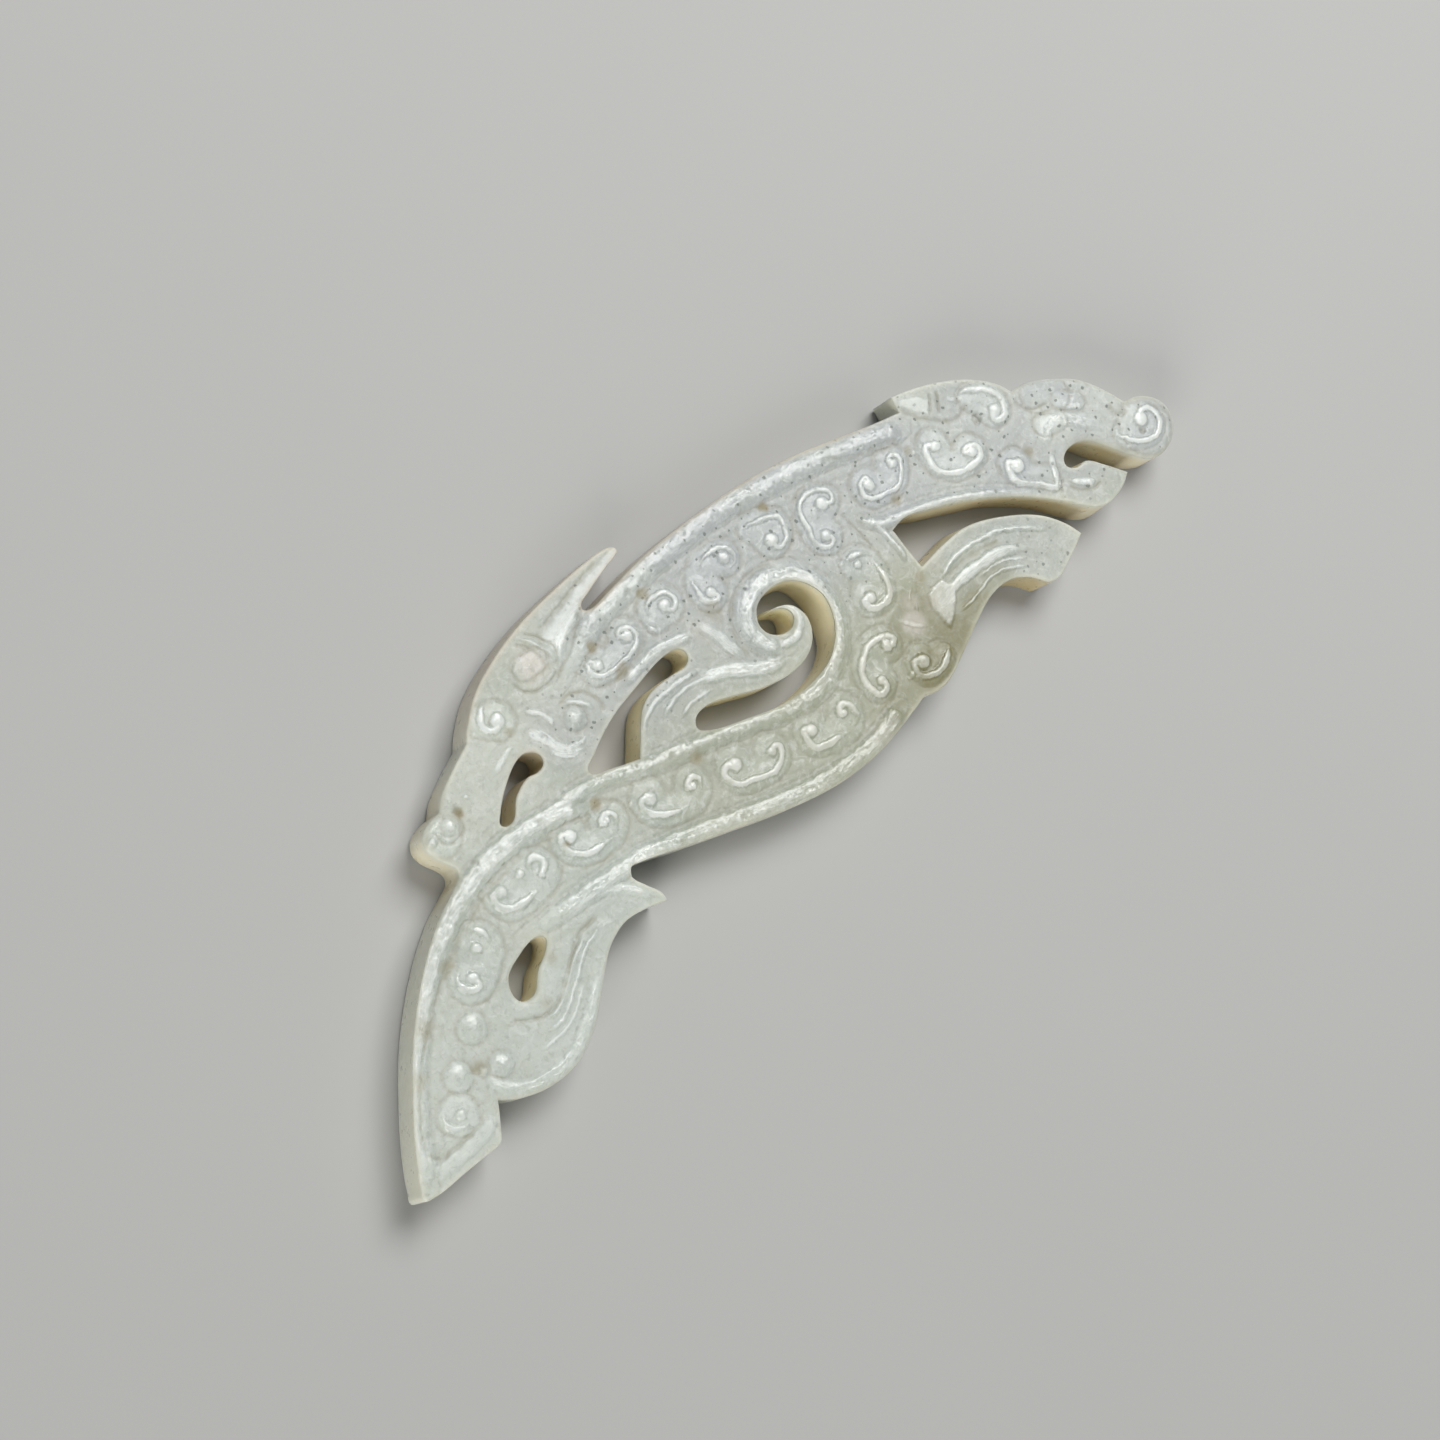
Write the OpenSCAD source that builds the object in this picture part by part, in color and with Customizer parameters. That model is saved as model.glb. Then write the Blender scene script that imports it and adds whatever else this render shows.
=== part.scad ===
// Pierced jade huang pendant: a flat arched plaque carved as a two-headed dragon.
// It lies on its flat back, X runs from the tail to the nose, Y to the arched side.

/* [Plaque] */
// Length from the tail tip to the nose
plaque_len = 112; // [80:1:150]
// Height of the walls, from the flat back to the ground of the relief
wall_h = 4.4; // [3:0.1:7]
// Colour of the jade
jade = "honeydew"; // [honeydew, ivory, darkseagreen]

/* [Relief] */
// Height of the border crests over the ground
border_h = 0.6; // [0.3:0.05:1.2]
// Width of a border crest
border_w = 1.8; // [1:0.1:2.4]
// Height of the scroll crests over the ground
scroll_h = 0.6; // [0.3:0.05:1.2]
// Width of a scroll crest at its foot
scroll_w = 1.3; // [0.8:0.1:1.8]
// Radius of the round buds that end the scrolls
bud_r = 0.75; // [0.4:0.05:1]
// Depth of the incised lines and drilled pits
incise_d = 0.35; // [0.15:0.05:0.8]
// Width of an incised line
incise_w = 0.45; // [0.25:0.05:0.8]

/* [Hidden] */

// Kinds of point on an outline: a smooth one, and a sharp corner
S = 0;
C = 1;
// Longest straight step along an outline and along a crest
edge_step = 1.15;
crest_step = 1.1;
// How far a crest's foot is sunk into the plaque, and how far a cut stands over it
sink = 0.3;
over = max(border_h, scroll_h) + 0.1;
// Length that the tables below are written for
table_len = 111.2;

// Outline tables, clockwise from the tail tip. Columns: x, y, kind of point
tail_back = [[-55, -0.3, S], [-54.5, 0.7, S], [-52.5, 3.5, S], [-49.7, 6.6, S], [-46.9, 9.4, S],
    [-43.6, 12.1, S], [-39.9, 14.5, S], [-36.4, 16.2, S], [-33, 17.2, S]];
snout_lobe = [[-32, 17.7, C], [-32.4, 18.9, S], [-33, 20.1, S], [-33.1, 21.3, S], [-32.3, 22.4, S],
    [-31.1, 22.7, S], [-29.9, 22.7, C]];
snout_brow = [[-28.5, 23.7, S], [-26.2, 24.6, S], [-23.6, 25.4, C], [-22.5, 26.4, S],
    [-19.7, 28.1, S], [-16.5, 29.1, S], [-12, 29.8, S]];
horn = [[-6.5, 29.9, S], [-2.5, 29.7, S], [0.2, 29, C], [-2, 28.3, S], [-5.2, 27.7, S], [-6.1, 27, S],
    [-5.4, 26.4, S]];
arched_side = [[-3.5, 26.5, S], [1.3, 26.5, S], [8, 25.9, S], [14.6, 24.9, S], [20.2, 23.5, S],
    [25, 21.8, S], [29.6, 20.1, S], [32.4, 19.2, C]];
crest = [[32.8, 20.8, C], [34.6, 20.2, S], [37.8, 18.7, S], [41, 16.5, S], [43, 14.2, S], [43.6, 12.9, C]];
forehead = [[45.4, 12.5, S], [48, 11, S], [50.4, 8.9, S], [51.8, 6.5, S], [52.7, 4.2, C]];
nose = [[54.3, 3.6, S], [55.7, 2.2, S], [56.1, 0.7, S], [55.5, -0.8, S], [54, -1.9, S], [52, -2.2, S],
    [50.5, -1.6, S]];
mouth = [[49, 0.3, S], [47.6, 2.6, S], [46.2, 4.3, S], [44.4, 4.9, S], [43, 4.6, S], [42.6, 3.9, S],
    [43.3, 3.1, S], [44.8, 2.8, S], [46.3, 1, S], [47.6, -1, C]];
jaw = [[45.8, -1.6, S], [43.4, -1.7, S], [42, -1, S], [39.8, 1.6, S], [36.4, 5, S], [32, 8.2, S],
    [28, 10.4, S], [25, 11.7, S], [23.3, 11.6, C]];
fin = [[23.1, 9.4, S], [23, 7.2, C], [26.5, 7.2, S], [29.6, 6.8, S], [33.6, 4.8, S], [36.6, 2.4, S],
    [38.2, 0, S], [38.8, -1.8, C], [36, -2.7, S], [33.4, -3.2, S], [32.4, -2.8, C], [31.2, -1.1, S],
    [29.4, 0.1, S], [26.8, 0.4, S]];
belly = [[23.4, -0.4, S], [20, -1.5, S], [17, -2.3, S], [15.3, -2.2, S], [14, -1.6, C], [10.6, -2, S],
    [6.6, -2.2, S], [1.6, -1.6, S], [-3.4, -0.1, S], [-9, 2.3, S], [-14.6, 4.8, S], [-19, 6.8, S]];
spur = [[-20.1, 7.1, S], [-20.5, 6.4, S], [-20, 4.9, S], [-19.4, 3.5, S], [-19.5, 2.6, C],
    [-21.4, 3.4, S], [-24, 4, S], [-26.5, 3.4, S]];
tail_fin = [[-29.4, 1.6, S], [-32.6, -0.5, S], [-36, -1.7, S], [-39.2, -1.5, S], [-41.8, -0.5, S],
    [-44, 1.1, C], [-45.2, -0.3, S], [-46.4, -1.7, C], [-50.4, -1.2, S], [-54.2, -0.7, S]];
outline = concat(tail_back, snout_lobe, snout_brow, horn, arched_side, crest, forehead, nose, mouth,
    jaw, fin, belly, spur, tail_fin);

// Openings that are cut through, each clockwise. Columns: x, y, kind of point
spiral_slot = [[6, 13.7, S], [6.2, 14.7, S], [7.2, 15.7, S], [8.8, 16, S], [10.6, 15.7, S],
    [12.1, 14.5, S], [12.9, 12.5, S], [12.5, 10.4, S], [11, 8.5, S], [8.8, 7.3, S], [5.6, 7, S],
    [2.4, 7.5, S], [-1.5, 9, S], [-5, 10.7, S], [-5.8, 11.6, S], [-5.2, 12.4, S], [-3.6, 12.5, S],
    [-0.6, 11.2, S], [2.2, 9.8, S], [5.2, 9, S], [7.8, 9.1, S], [9.4, 10, S], [10.3, 11.6, S],
    [10.1, 13.1, S], [9.1, 14.1, S], [8.1, 14.5, C], [9.1, 13.7, S], [9.3, 12.7, S], [8.5, 11.95, S],
    [7.3, 12.1, S], [6.4, 12.8, S]];
leaf_gap = [[-16.7, 15.8, S], [-15, 16.7, S], [-11.6, 17.8, S], [-7.6, 18.3, S], [-3.2, 18.5, S],
    [-1.9, 18.1, S], [-1.5, 17.4, S], [-2, 16.6, S], [-4.4, 16.8, S], [-6.6, 17, S], [-8.3, 16.6, S],
    [-9.6, 15.7, S], [-11, 14.4, S], [-12.1, 13.4, C], [-15, 14.7, S]];
jaw_gap = [[-26.4, 18, S], [-25.6, 18.9, S], [-23.4, 20.3, S], [-21, 21.2, S], [-20, 21.1, S],
    [-19.1, 20.1, S], [-19.4, 19.3, S], [-20.4, 19.1, S], [-21.4, 19.4, S], [-23.4, 18.9, S],
    [-25.5, 17.5, S]];
tear_gap = [[-36.4, 6.6, S], [-35.6, 8, S], [-33.6, 8.7, S], [-31.2, 8.8, S], [-30.5, 8.2, S],
    [-31.2, 7.4, S], [-33, 6.6, S], [-35, 5.3, S], [-36.2, 5.7, S]];
openings = [spiral_slot, leaf_gap, jaw_gap, tear_gap];

// Border crests that follow the edges. Columns: x, y
borders = [
    // tail, then over the spiral's ring and back
    [[-54, 0.6], [-51.2, 4.4], [-46.7, 9], [-41.4, 12.9], [-36, 15.2], [-30, 16.5], [-24, 16],
        [-18, 14.2], [-12, 12.3], [-6.4, 10], [-1.4, 8.2], [3, 6.6], [7, 6.2], [10.6, 7.2], [13, 9.6],
        [13.8, 12.6], [12.8, 15], [10.6, 16.6], [8, 16.8], [5.8, 15.6]],
    // arched side
    [[-12, 23.6], [-7, 25], [-1, 25.5], [6, 25.1], [13, 24.1], [20, 22.4], [26, 20.3], [31.6, 17.9]],
    // under the neck and the jaw
    [[22, 13.8], [26, 12.2], [31, 9.8], [35.6, 6.8], [39.4, 3.4], [42, 0.2]],
    // outside of the belly
    [[13, -0.8], [7, -1.2], [1, -0.5], [-5, 1.4], [-11, 4], [-17, 6.8], [-21, 8.6], [-25, 9.4]],
    // snout and horn of the small head
    [[-31.6, 21], [-29, 22.5], [-24.6, 24.2], [-21.8, 26], [-17, 28], [-11, 28.9], [-5, 29], [-1, 29]],
    // back edge of the crest
    [[31.8, 20.3], [35.6, 18.7], [39.4, 16.4], [42, 13.6]]];

// Scroll crests, each ending in buds. Columns: x, y
scrolls = [
    [[32.4, 14.9], [31.5, 13.5], [32.2, 11.9], [34.2, 10.6], [36, 10.5], [36.8, 11.5]],
    [[23.4, 15.8], [24.3, 14.9], [26, 14.2], [27.8, 14.3], [28.8, 15.4], [29, 16.5]],
    [[20.9, 17.8], [21.2, 18.8], [19.8, 19.9], [18.2, 19.6], [17, 18], [16.4, 16.4], [16.7, 15]],
    [[11.8, 21.6], [13.4, 21.5], [14.7, 20.6], [15, 19.3], [14.3, 18.2]],
    [[4.1, 18.9], [3.4, 20.4], [4.4, 21.9], [6.6, 22.5], [8.5, 22.2], [9.2, 21.2]],
    [[-2.4, 21.3], [-2, 22.4], [-0.6, 23], [0.9, 22.8], [1.7, 21.9], [1.1, 20.9]],
    [[-9.7, 22.2], [-9.2, 21.2], [-7.6, 20.6], [-5.6, 20.5], [-4.1, 21.1], [-3.9, 22.2]],
    [[-15, 20.6], [-14.6, 19.6], [-13.4, 19.1], [-12.2, 19.6], [-12, 20.6]],
    [[17.2, 12], [18.2, 12.4], [19.4, 12]],
    [[16.2, 9], [16.8, 7.7], [18.2, 7.3], [19.3, 8.3], [19.7, 10.3]],
    [[15.5, 4.9], [14.2, 5.6], [12.4, 5.4], [11, 4.3], [10.4, 2.6], [11, 1.5]],
    [[15.2, 0.5], [15.6, -0.6], [16.8, -1], [18.3, -0.8], [19.6, -0.2]],
    [[1.8, 3.3], [2.1, 2.5], [3.5, 1.8], [5.2, 1.4]],
    [[6.4, 3.5], [7.4, 3.2], [7.6, 2.2], [6.8, 1.4]],
    [[-6.7, 6.4], [-6.2, 5.4], [-4.6, 4.3], [-2.6, 3.8], [-1.2, 4.3], [-0.7, 5.2]],
    [[-14.9, 9.8], [-14.6, 8.8], [-13.4, 7.8], [-11.8, 7.2]],
    [[-9.8, 9], [-8.9, 8.4], [-8.9, 7.5], [-9.8, 7.1]],
    [[-23.3, 12.3], [-22.8, 11.3], [-21.3, 10.5], [-19.4, 10.2]],
    [[-18.9, 12.2], [-17.8, 12], [-17.5, 11.1], [-18.3, 10.6]],
    [[-31.5, 13], [-31, 12.2], [-29.6, 11.7], [-28, 11.8]],
    [[-27, 13.8], [-26.1, 13.6], [-25.8, 12.8], [-26.4, 12.1]],
    [[-39.3, 10.6], [-38.8, 9.9], [-37.7, 9.8]],
    [[-35.6, 12.9], [-34.6, 12.9], [-34.4, 11.9]],
    // ear curl, cheek and nose of the large head
    [[40.1, 15.8], [41.6, 14.5], [42.2, 13], [41.4, 11.8], [40.4, 12]],
    [[37.6, 7.4], [37.1, 6.4], [38.6, 4.7], [40.3, 3.3], [41.3, 4.5], [43, 6.9]],
    [[49.4, 3.1], [49.7, 1.6], [51.4, 0], [53.2, -0.3], [54.3, 0.7], [53.9, 1.9]],
    // cheek and brow of the small head
    [[-21.3, 25], [-20.8, 26.2], [-19.2, 26.8]],
    [[-18.2, 22], [-17.2, 20.4], [-15.8, 18.3]]];
// Flutes of the fin, the ribbon and the tail fin. Columns: x, y
flutes = [
    [[24, 5], [27, 5.2], [30.6, 4.2], [34, 2], [36.4, -0.8]],
    [[24.6, 3.7], [28, 3.5], [31.4, 2], [34, -0.4]],
    [[26, 2.1], [29, 1.6], [31.6, 0], [33, -1.4]],
    [[-10.8, 13], [-9.2, 14.7], [-6.6, 15.8], [-3, 15.3], [0.6, 13.6], [3.6, 11.4], [6.6, 10.3],
        [9, 11]],
    [[-8.6, 12.7], [-6, 14], [-2.8, 13.5], [0.4, 11.9]],
    [[-40.6, -0.2], [-36.6, -0.8], [-32, 0.6], [-28, 3.2], [-24, 5]],
    [[-38.6, 2], [-35, 2], [-31, 3.6], [-27.6, 5.8], [-24, 6.6]]];

// Round buds and grains. Columns: x, y, radius as a share of bud_r
buds = [[32.9, 14.2, 1], [35.7, 11.6, 1], [24.2, 16.3, 1], [27.9, 16.1, 1], [17.4, 15.6, 1],
    [20.2, 18.4, 1.1], [13.6, 19.1, 1], [4.5, 19.5, 1], [8.2, 21.1, 1], [0.4, 21.6, 1],
    [-9, 22.4, 1], [-4.9, 22.2, 1], [-13.4, 20.3, 1.1], [18.2, 11.7, 0.8], [16.4, 8.6, 1],
    [14.6, 4.4, 1], [11.5, 2.4, 0.9], [15.9, 0.7, 1], [2.6, 3.8, 1], [6.5, 2.7, 0.8],
    [-5.5, 6.8, 1.1], [-1.8, 5.2, 0.8], [-13.9, 10.3, 1.1], [-9.8, 8.2, 0.9], [-22.3, 12.9, 1.1],
    [-18.3, 11.6, 0.8], [-30.7, 13.6, 1.1], [-26.8, 12.8, 0.8], [-37.8, 10.4, 0.9],
    [-35.2, 12.1, 0.8], [41.2, 12.8, 0.9], [38.4, 7.4, 1.1], [52.9, 1.9, 1], [-20.1, 25, 1.1],
    [-17.2, 21.8, 1], [-31.2, 21, 1.5], [-41.1, 7.1, 1.9], [-44.6, 5.8, 1.4], [-41.4, 3.3, 1.7],
    [-47.2, 2.4, 2.1], [-13.4, 26.6, 1.7], [47.5, 7.4, 1.6], [44.3, 8, 1.3]];

// Incised lines. Columns: x, y
incised = [[[-14, 24.2], [-12.3, 25.6], [-11.4, 27.4], [-12, 28.8]], [[-11, 25.2], [-10.4, 27], [-11, 28.6]],
    [[40.8, 2.6], [42, 3.6]], [[36, 16.6], [37.6, 18.2]], [[35.2, 17], [36.8, 18.6]],
    [[-28, 7], [-24.8, 7.6], [-22, 7.2]]];
// Drilled pits. Columns: x, y, radius
pits = [[38.6, 13.3, 0.5], [52, 0.9, 0.45], [-28.4, 21.4, 0.4]];

function unit(v) = v / max(norm(v), 0.001);
function flat(p) = [p[0], p[1]];

// Direction of the curve where it leaves or reaches a point, and straight along the chord at a corner
function heading(before, at, after, chord) =
    at[2] == C || norm(flat(at) - flat(before)) < 0.001 || norm(flat(after) - flat(at)) < 0.001
        ? unit(chord)
        : unit(unit(flat(at) - flat(before)) + unit(flat(after) - flat(at)));

// Point at share t of a smooth span from a to b, with headings da and db
function span_point(a, b, da, db, t) =
    let(chord = norm(b - a), t2 = t * t, t3 = t2 * t)
    (2 * t3 - 3 * t2 + 1) * a + (t3 - 2 * t2 + t) * chord * da
        + (3 * t2 - 2 * t3) * b + (t3 - t2) * chord * db;

// Smooth curve through the rows of a table, closed or open
function curve(rows, step, closed) =
    let(n = len(rows), spans = closed ? n : n - 1)
    concat([for (i = [0 : spans - 1])
        let(last = n - 1,
            a = rows[i], b = rows[(i + 1) % n],
            before = closed ? rows[(i + last) % n] : rows[max(i - 1, 0)],
            after = closed ? rows[(i + 2) % n] : rows[min(i + 2, last)],
            chord = flat(b) - flat(a),
            da = heading(before, a, b, chord), db = heading(a, b, after, chord),
            count = max(1, ceil(norm(chord) / step)))
        for (k = [0 : count - 1]) span_point(flat(a), flat(b), da, db, k / count)],
        closed ? [] : [flat(rows[n - 1])]);

// Sideways direction of a curve at its point i
function side(points, i) =
    let(d = unit(points[min(i + 1, len(points) - 1)] - points[max(i - 1, 0)])) [-d[1], d[0]];

// A bar along a curve with a roof-shaped section that thins at its ends. It runs on past the
// ground, so that it meets the ground at a slant. A negative height gives a V-shaped cutter.
module roof(rows, width, height) {
    points = curve([for (r = rows) [r[0], r[1], S]], crest_step, false);
    n = len(points);
    away = height > 0 ? -sink : over;
    corners = [for (i = [0 : n - 1])
        let(full = i == 0 || i == n - 1 ? 0.5 : 1,
            h = height * full,
            s = side(points, i) * width / 2 * full * (h - away) / h,
            p = points[i])
        each [[p[0] - s[0], p[1] - s[1], wall_h + away], [p[0], p[1], wall_h + h],
            [p[0] + s[0], p[1] + s[1], wall_h + away]]];
    m = 3;
    ends = [[for (j = [0 : m - 1]) j], [for (j = [m - 1 : -1 : 0]) (n - 1) * m + j]];
    sides = [for (i = [0 : n - 2]) for (j = [0 : m - 1])
        let(k = (j + 1) % m)
        each [[i * m + j, (i + 1) * m + j, (i + 1) * m + k], [i * m + j, (i + 1) * m + k, i * m + k]]];
    faces = concat(ends, sides);
    polyhedron(corners, height > 0 ? [for (f = faces) [f[2], f[1], f[0]]] : faces);
}

// A low dome: a wide foot drawn in to a small flat top
module bud(x, y, r) {
    top_r = r * 0.45;
    translate([x, y, wall_h])
        hull() {
            translate([0, 0, -sink]) cylinder(r = r, h = sink + scroll_h * 0.45, $fn = 10);
            cylinder(r = top_r, h = scroll_h, $fn = 6);
        }
}

// Outline with its openings
module profile() {
    difference() {
        polygon(curve(outline, edge_step, true));
        for (gap = openings) polygon(curve(gap, edge_step, true));
    }
}

// Everything that stands up from the ground
module relief() {
    for (b = borders) roof(b, border_w, border_h);
    for (s = scrolls) roof(s, scroll_w, scroll_h);
    for (f = flutes) roof(f, border_w * 0.8, border_h * 0.7);
    for (b = buds) bud(b[0], b[1], b[2] * bud_r);
}

// Everything that is cut into it
module cuts() {
    for (c = incised) roof(c, incise_w, -incise_d);
    for (p = pits) translate([p[0], p[1], wall_h - incise_d]) cylinder(r = p[2], h = 2 * over, $fn = 12);
}

// The flat-backed slab and its relief, both trimmed to the outline by one straight-walled prism
module plaque() {
    intersection() {
        linear_extrude(wall_h + border_h + scroll_h) profile();
        union() {
            translate([-table_len, -table_len, -over])
                cube([2 * table_len, 2 * table_len, over + wall_h]);
            relief();
        }
    }
}

// The whole pendant, scaled from its tables and centred over its box
module jade_plaque() {
    edge = curve(outline, edge_step, true);
    xs = [for (p = edge) p[0]];
    ys = [for (p = edge) p[1]];
    grow = plaque_len / table_len;
    color(jade)
        scale([grow, grow, 1])
            translate([-(min(xs) + max(xs)) / 2, -(min(ys) + max(ys)) / 2, 0])
                difference() {
                    plaque();
                    cuts();
                }
}

jade_plaque();
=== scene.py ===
"""Jade huang pendant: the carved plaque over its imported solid, its polish, and a plain studio."""
import logging
import math
from dataclasses import dataclass, field
from enum import Enum
from typing import Any, Sequence, Union

import bpy
import numpy as np
from mathutils import Matrix, Vector
from mathutils.geometry import delaunay_2d_cdt


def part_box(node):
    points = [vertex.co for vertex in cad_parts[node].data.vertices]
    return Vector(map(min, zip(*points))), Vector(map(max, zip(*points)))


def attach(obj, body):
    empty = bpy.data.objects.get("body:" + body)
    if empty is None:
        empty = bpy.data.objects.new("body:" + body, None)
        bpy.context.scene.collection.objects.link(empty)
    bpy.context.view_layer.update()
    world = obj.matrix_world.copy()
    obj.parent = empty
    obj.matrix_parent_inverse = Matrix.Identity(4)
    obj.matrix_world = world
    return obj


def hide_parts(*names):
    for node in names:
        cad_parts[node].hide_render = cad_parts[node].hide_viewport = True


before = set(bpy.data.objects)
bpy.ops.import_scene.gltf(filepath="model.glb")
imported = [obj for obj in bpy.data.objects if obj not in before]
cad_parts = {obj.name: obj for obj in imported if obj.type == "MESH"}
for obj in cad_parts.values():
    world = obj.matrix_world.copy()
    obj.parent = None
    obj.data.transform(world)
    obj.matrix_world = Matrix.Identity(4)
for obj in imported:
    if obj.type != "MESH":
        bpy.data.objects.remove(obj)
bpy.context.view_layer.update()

log = logging.getLogger("pendant")

MM = 0.001
Rows = Sequence[tuple]
Numbers = np.ndarray
Tone = tuple[float, float, float]
Levels = tuple[float, float]

# Lengths in millimetres: points this near are one, and a line this long stands for a point
TOUCH = 1e-3
STUB = 0.01
# The least number that is divided by
TINY = 1e-9
# Distances in millimetres: where no carving matters any more, where open ground starts from a
# ridge's foot, and how far past its foot a carving is still measured
FAR = 9.0
OPEN = 2.0
SKIRT = 1.6
# The steps at which carved lines are sampled, for the carving and for the spacing of the mesh
LINE_STEP = 0.3
ROUGH_STEP = 0.4
# Primes that scramble the corners of a noise's cells
HASH_X = 374761393
HASH_Y = 668265263
HASH_SEED = 974634777
HASH_MIX = 1274126177


class Turn(Enum):
    """How an outline passes a point of its table."""

    SMOOTH = 0
    CORNER = 1


class Face(Enum):
    """Which broad face of the plaque a sheet of mesh belongs to."""

    FRONT = 1
    BACK = -1


C = Turn.CORNER


# Paths and fields of points

def unit(v: Numbers) -> Numbers:
    """Scale a flat vector to length one, or leave a null one alone."""
    size = float(np.hypot(v[0], v[1]))
    return v / size if size > TOUCH else v * 0.0


def heading(before: Numbers, at: Numbers, after: Numbers, chord: Numbers, turn: Turn) -> Numbers:
    """Find the direction in which a curve passes a point.

    Args:
        before: The point before it.
        at: The point itself.
        after: The point after it.
        chord: The straight line of the span in hand.
        turn: Whether the curve turns smoothly there or has a corner.

    Returns:
        A unit vector, along the chord at a corner.
    """
    back, ahead = at - before, after - at
    if turn is Turn.CORNER or np.hypot(*back) < TOUCH or np.hypot(*ahead) < TOUCH:
        return unit(chord)
    return unit(unit(back) + unit(ahead))


def smooth_path(rows: Rows, step: float, closed: bool) -> Numbers:
    """Sample the smooth curve through a table's points.

    Args:
        rows: Points as (x, y) or (x, y, Turn), in millimetres.
        step: The longest step between samples.
        closed: Whether the last point joins the first.

    Returns:
        The samples as an array of shape (n, 2).
    """
    points = np.array([row[:2] for row in rows], float)
    turns = [row[2] if len(row) > 2 else Turn.SMOOTH for row in rows]
    n = len(points)
    out: list[Numbers] = []
    for i in range(n if closed else n - 1):
        j = (i + 1) % n
        before = points[i - 1] if closed or i else points[0]
        after = points[(i + 2) % n] if closed else points[min(i + 2, n - 1)]
        a, b = points[i], points[j]
        chord = b - a
        reach = float(np.hypot(*chord))
        da = heading(before, a, b, chord, turns[i]) * reach
        db = heading(a, b, after, chord, turns[j]) * reach
        count = max(1, math.ceil(reach / step))
        t = (np.arange(count) / count)[:, None]
        t2, t3 = t * t, t * t * t
        start = (2 * t3 - 3 * t2 + 1) * a + (t3 - 2 * t2 + t) * da
        out.append(start + (3 * t2 - 2 * t3) * b + (t3 - t2) * db)
    if not closed:
        out.append(points[-1:])
    return np.concatenate(out)


def path_length(path: Numbers) -> float:
    """Add up the steps of a path."""
    return float(np.hypot(*np.diff(path, axis=0).T).sum())


def away(points: Numbers, x: float, y: float) -> Numbers:
    """Measure how far points lie from a place."""
    return np.hypot(points[:, 0] - x, points[:, 1] - y)


def ramp(x: Numbers, start: float = 0.0, width: float = 1.0) -> Numbers:
    """Rise smoothly from 0 at a start to 1 a width further on.

    Args:
        x: The numbers.
        start: Where the rise starts.
        width: How long it is.

    Returns:
        The smooth shares.
    """
    t = np.clip((x - start) / width, 0.0, 1.0)
    return t * t * (3 - 2 * t)


def spot(share: Numbers) -> Numbers:
    """Give 1 up to half a radius from a spot's centre, and 0 from one and a half."""
    return ramp(1.5 - share)


def bell(x: Numbers, width: float) -> Numbers:
    """Give 1 at zero and fall away over a width on either side."""
    return np.exp(-np.square(x / width))


def smooth_max(a: Numbers, b: Numbers, blend: float) -> Numbers:
    """Take the greater of two heights, with a fillet where they cross.

    Args:
        a: The first heights.
        b: The second heights.
        blend: The size of the fillet.

    Returns:
        The blended heights.
    """
    h = np.clip(0.5 + 0.5 * (a - b) / blend, 0.0, 1.0)
    return b + (a - b) * h + blend * h * (1 - h)


def grain(points: Numbers, cell: float, seed: int) -> Numbers:
    """Even random noise over a plane, the same on each run.

    Args:
        points: Places in millimetres, shape (n, 2).
        cell: The size of one lump.
        seed: Which noise of many.

    Returns:
        Values from -1 to 1.
    """
    p = points / cell
    base = np.floor(p).astype(np.int64)
    f = p - base
    f = f * f * (3 - 2 * f)

    def lattice(dx: int, dy: int) -> Numbers:
        """Random value at a corner of each point's cell."""
        h = (base[:, 0] + dx) * HASH_X + (base[:, 1] + dy) * HASH_Y + seed * HASH_SEED
        h = (h ^ (h >> 13)) * HASH_MIX
        h = h ^ (h >> 16)
        return (h & 0xFFFF) / 32767.5 - 1.0

    low = lattice(0, 0) * (1 - f[:, 0]) + lattice(1, 0) * f[:, 0]
    high = lattice(0, 1) * (1 - f[:, 0]) + lattice(1, 1) * f[:, 0]
    return low * (1 - f[:, 1]) + high * f[:, 1]


@dataclass(frozen=True)
class Noise:
    """Layers of noise on a base. Each row is a strength, the size of a lump and a seed."""

    layers: Rows
    base: float = 0.0

    def at(self, points: Numbers) -> Numbers:
        """Add the layers up at each point."""
        heights = (strength * grain(points, cell, seed) for strength, cell, seed in self.layers)
        return sum(heights, self.base)


@dataclass(frozen=True)
class Patch:
    """A soft-edged part of the plan, where all of its ramps have risen.

    Each row is the x and the y of the way in which a ramp rises, its start and its width.
    """

    ramps: Rows

    def share(self, points: Numbers) -> Numbers:
        """Give 1 inside the patch and 0 outside it."""
        return np.prod([ramp(dx * points[:, 0] + dy * points[:, 1], start, width)
                        for dx, dy, start, width in self.ramps], axis=0)


@dataclass(frozen=True)
class HighlightPaint:
    """How strongly carvings are whitened by a painted highlight, how early it sets in and over what share.
    """

    strength: float = 1.0
    early: float = 0.0
    over: float = 0.4

    def share(self, level: Numbers, highlight_from: float, shine: float | Numbers) -> Numbers:
        """Work out how much painted highlight each point has.

        Args:
            level: Its share of the carving's height.
            highlight_from: The share from which this carving is whitened.
            shine: How strongly this carving is whitened.

        Returns:
            The painted highlight, 1 at its whitest.
        """
        return shine * self.strength * ramp(level - highlight_from + self.early, 0.0, self.over)


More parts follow.
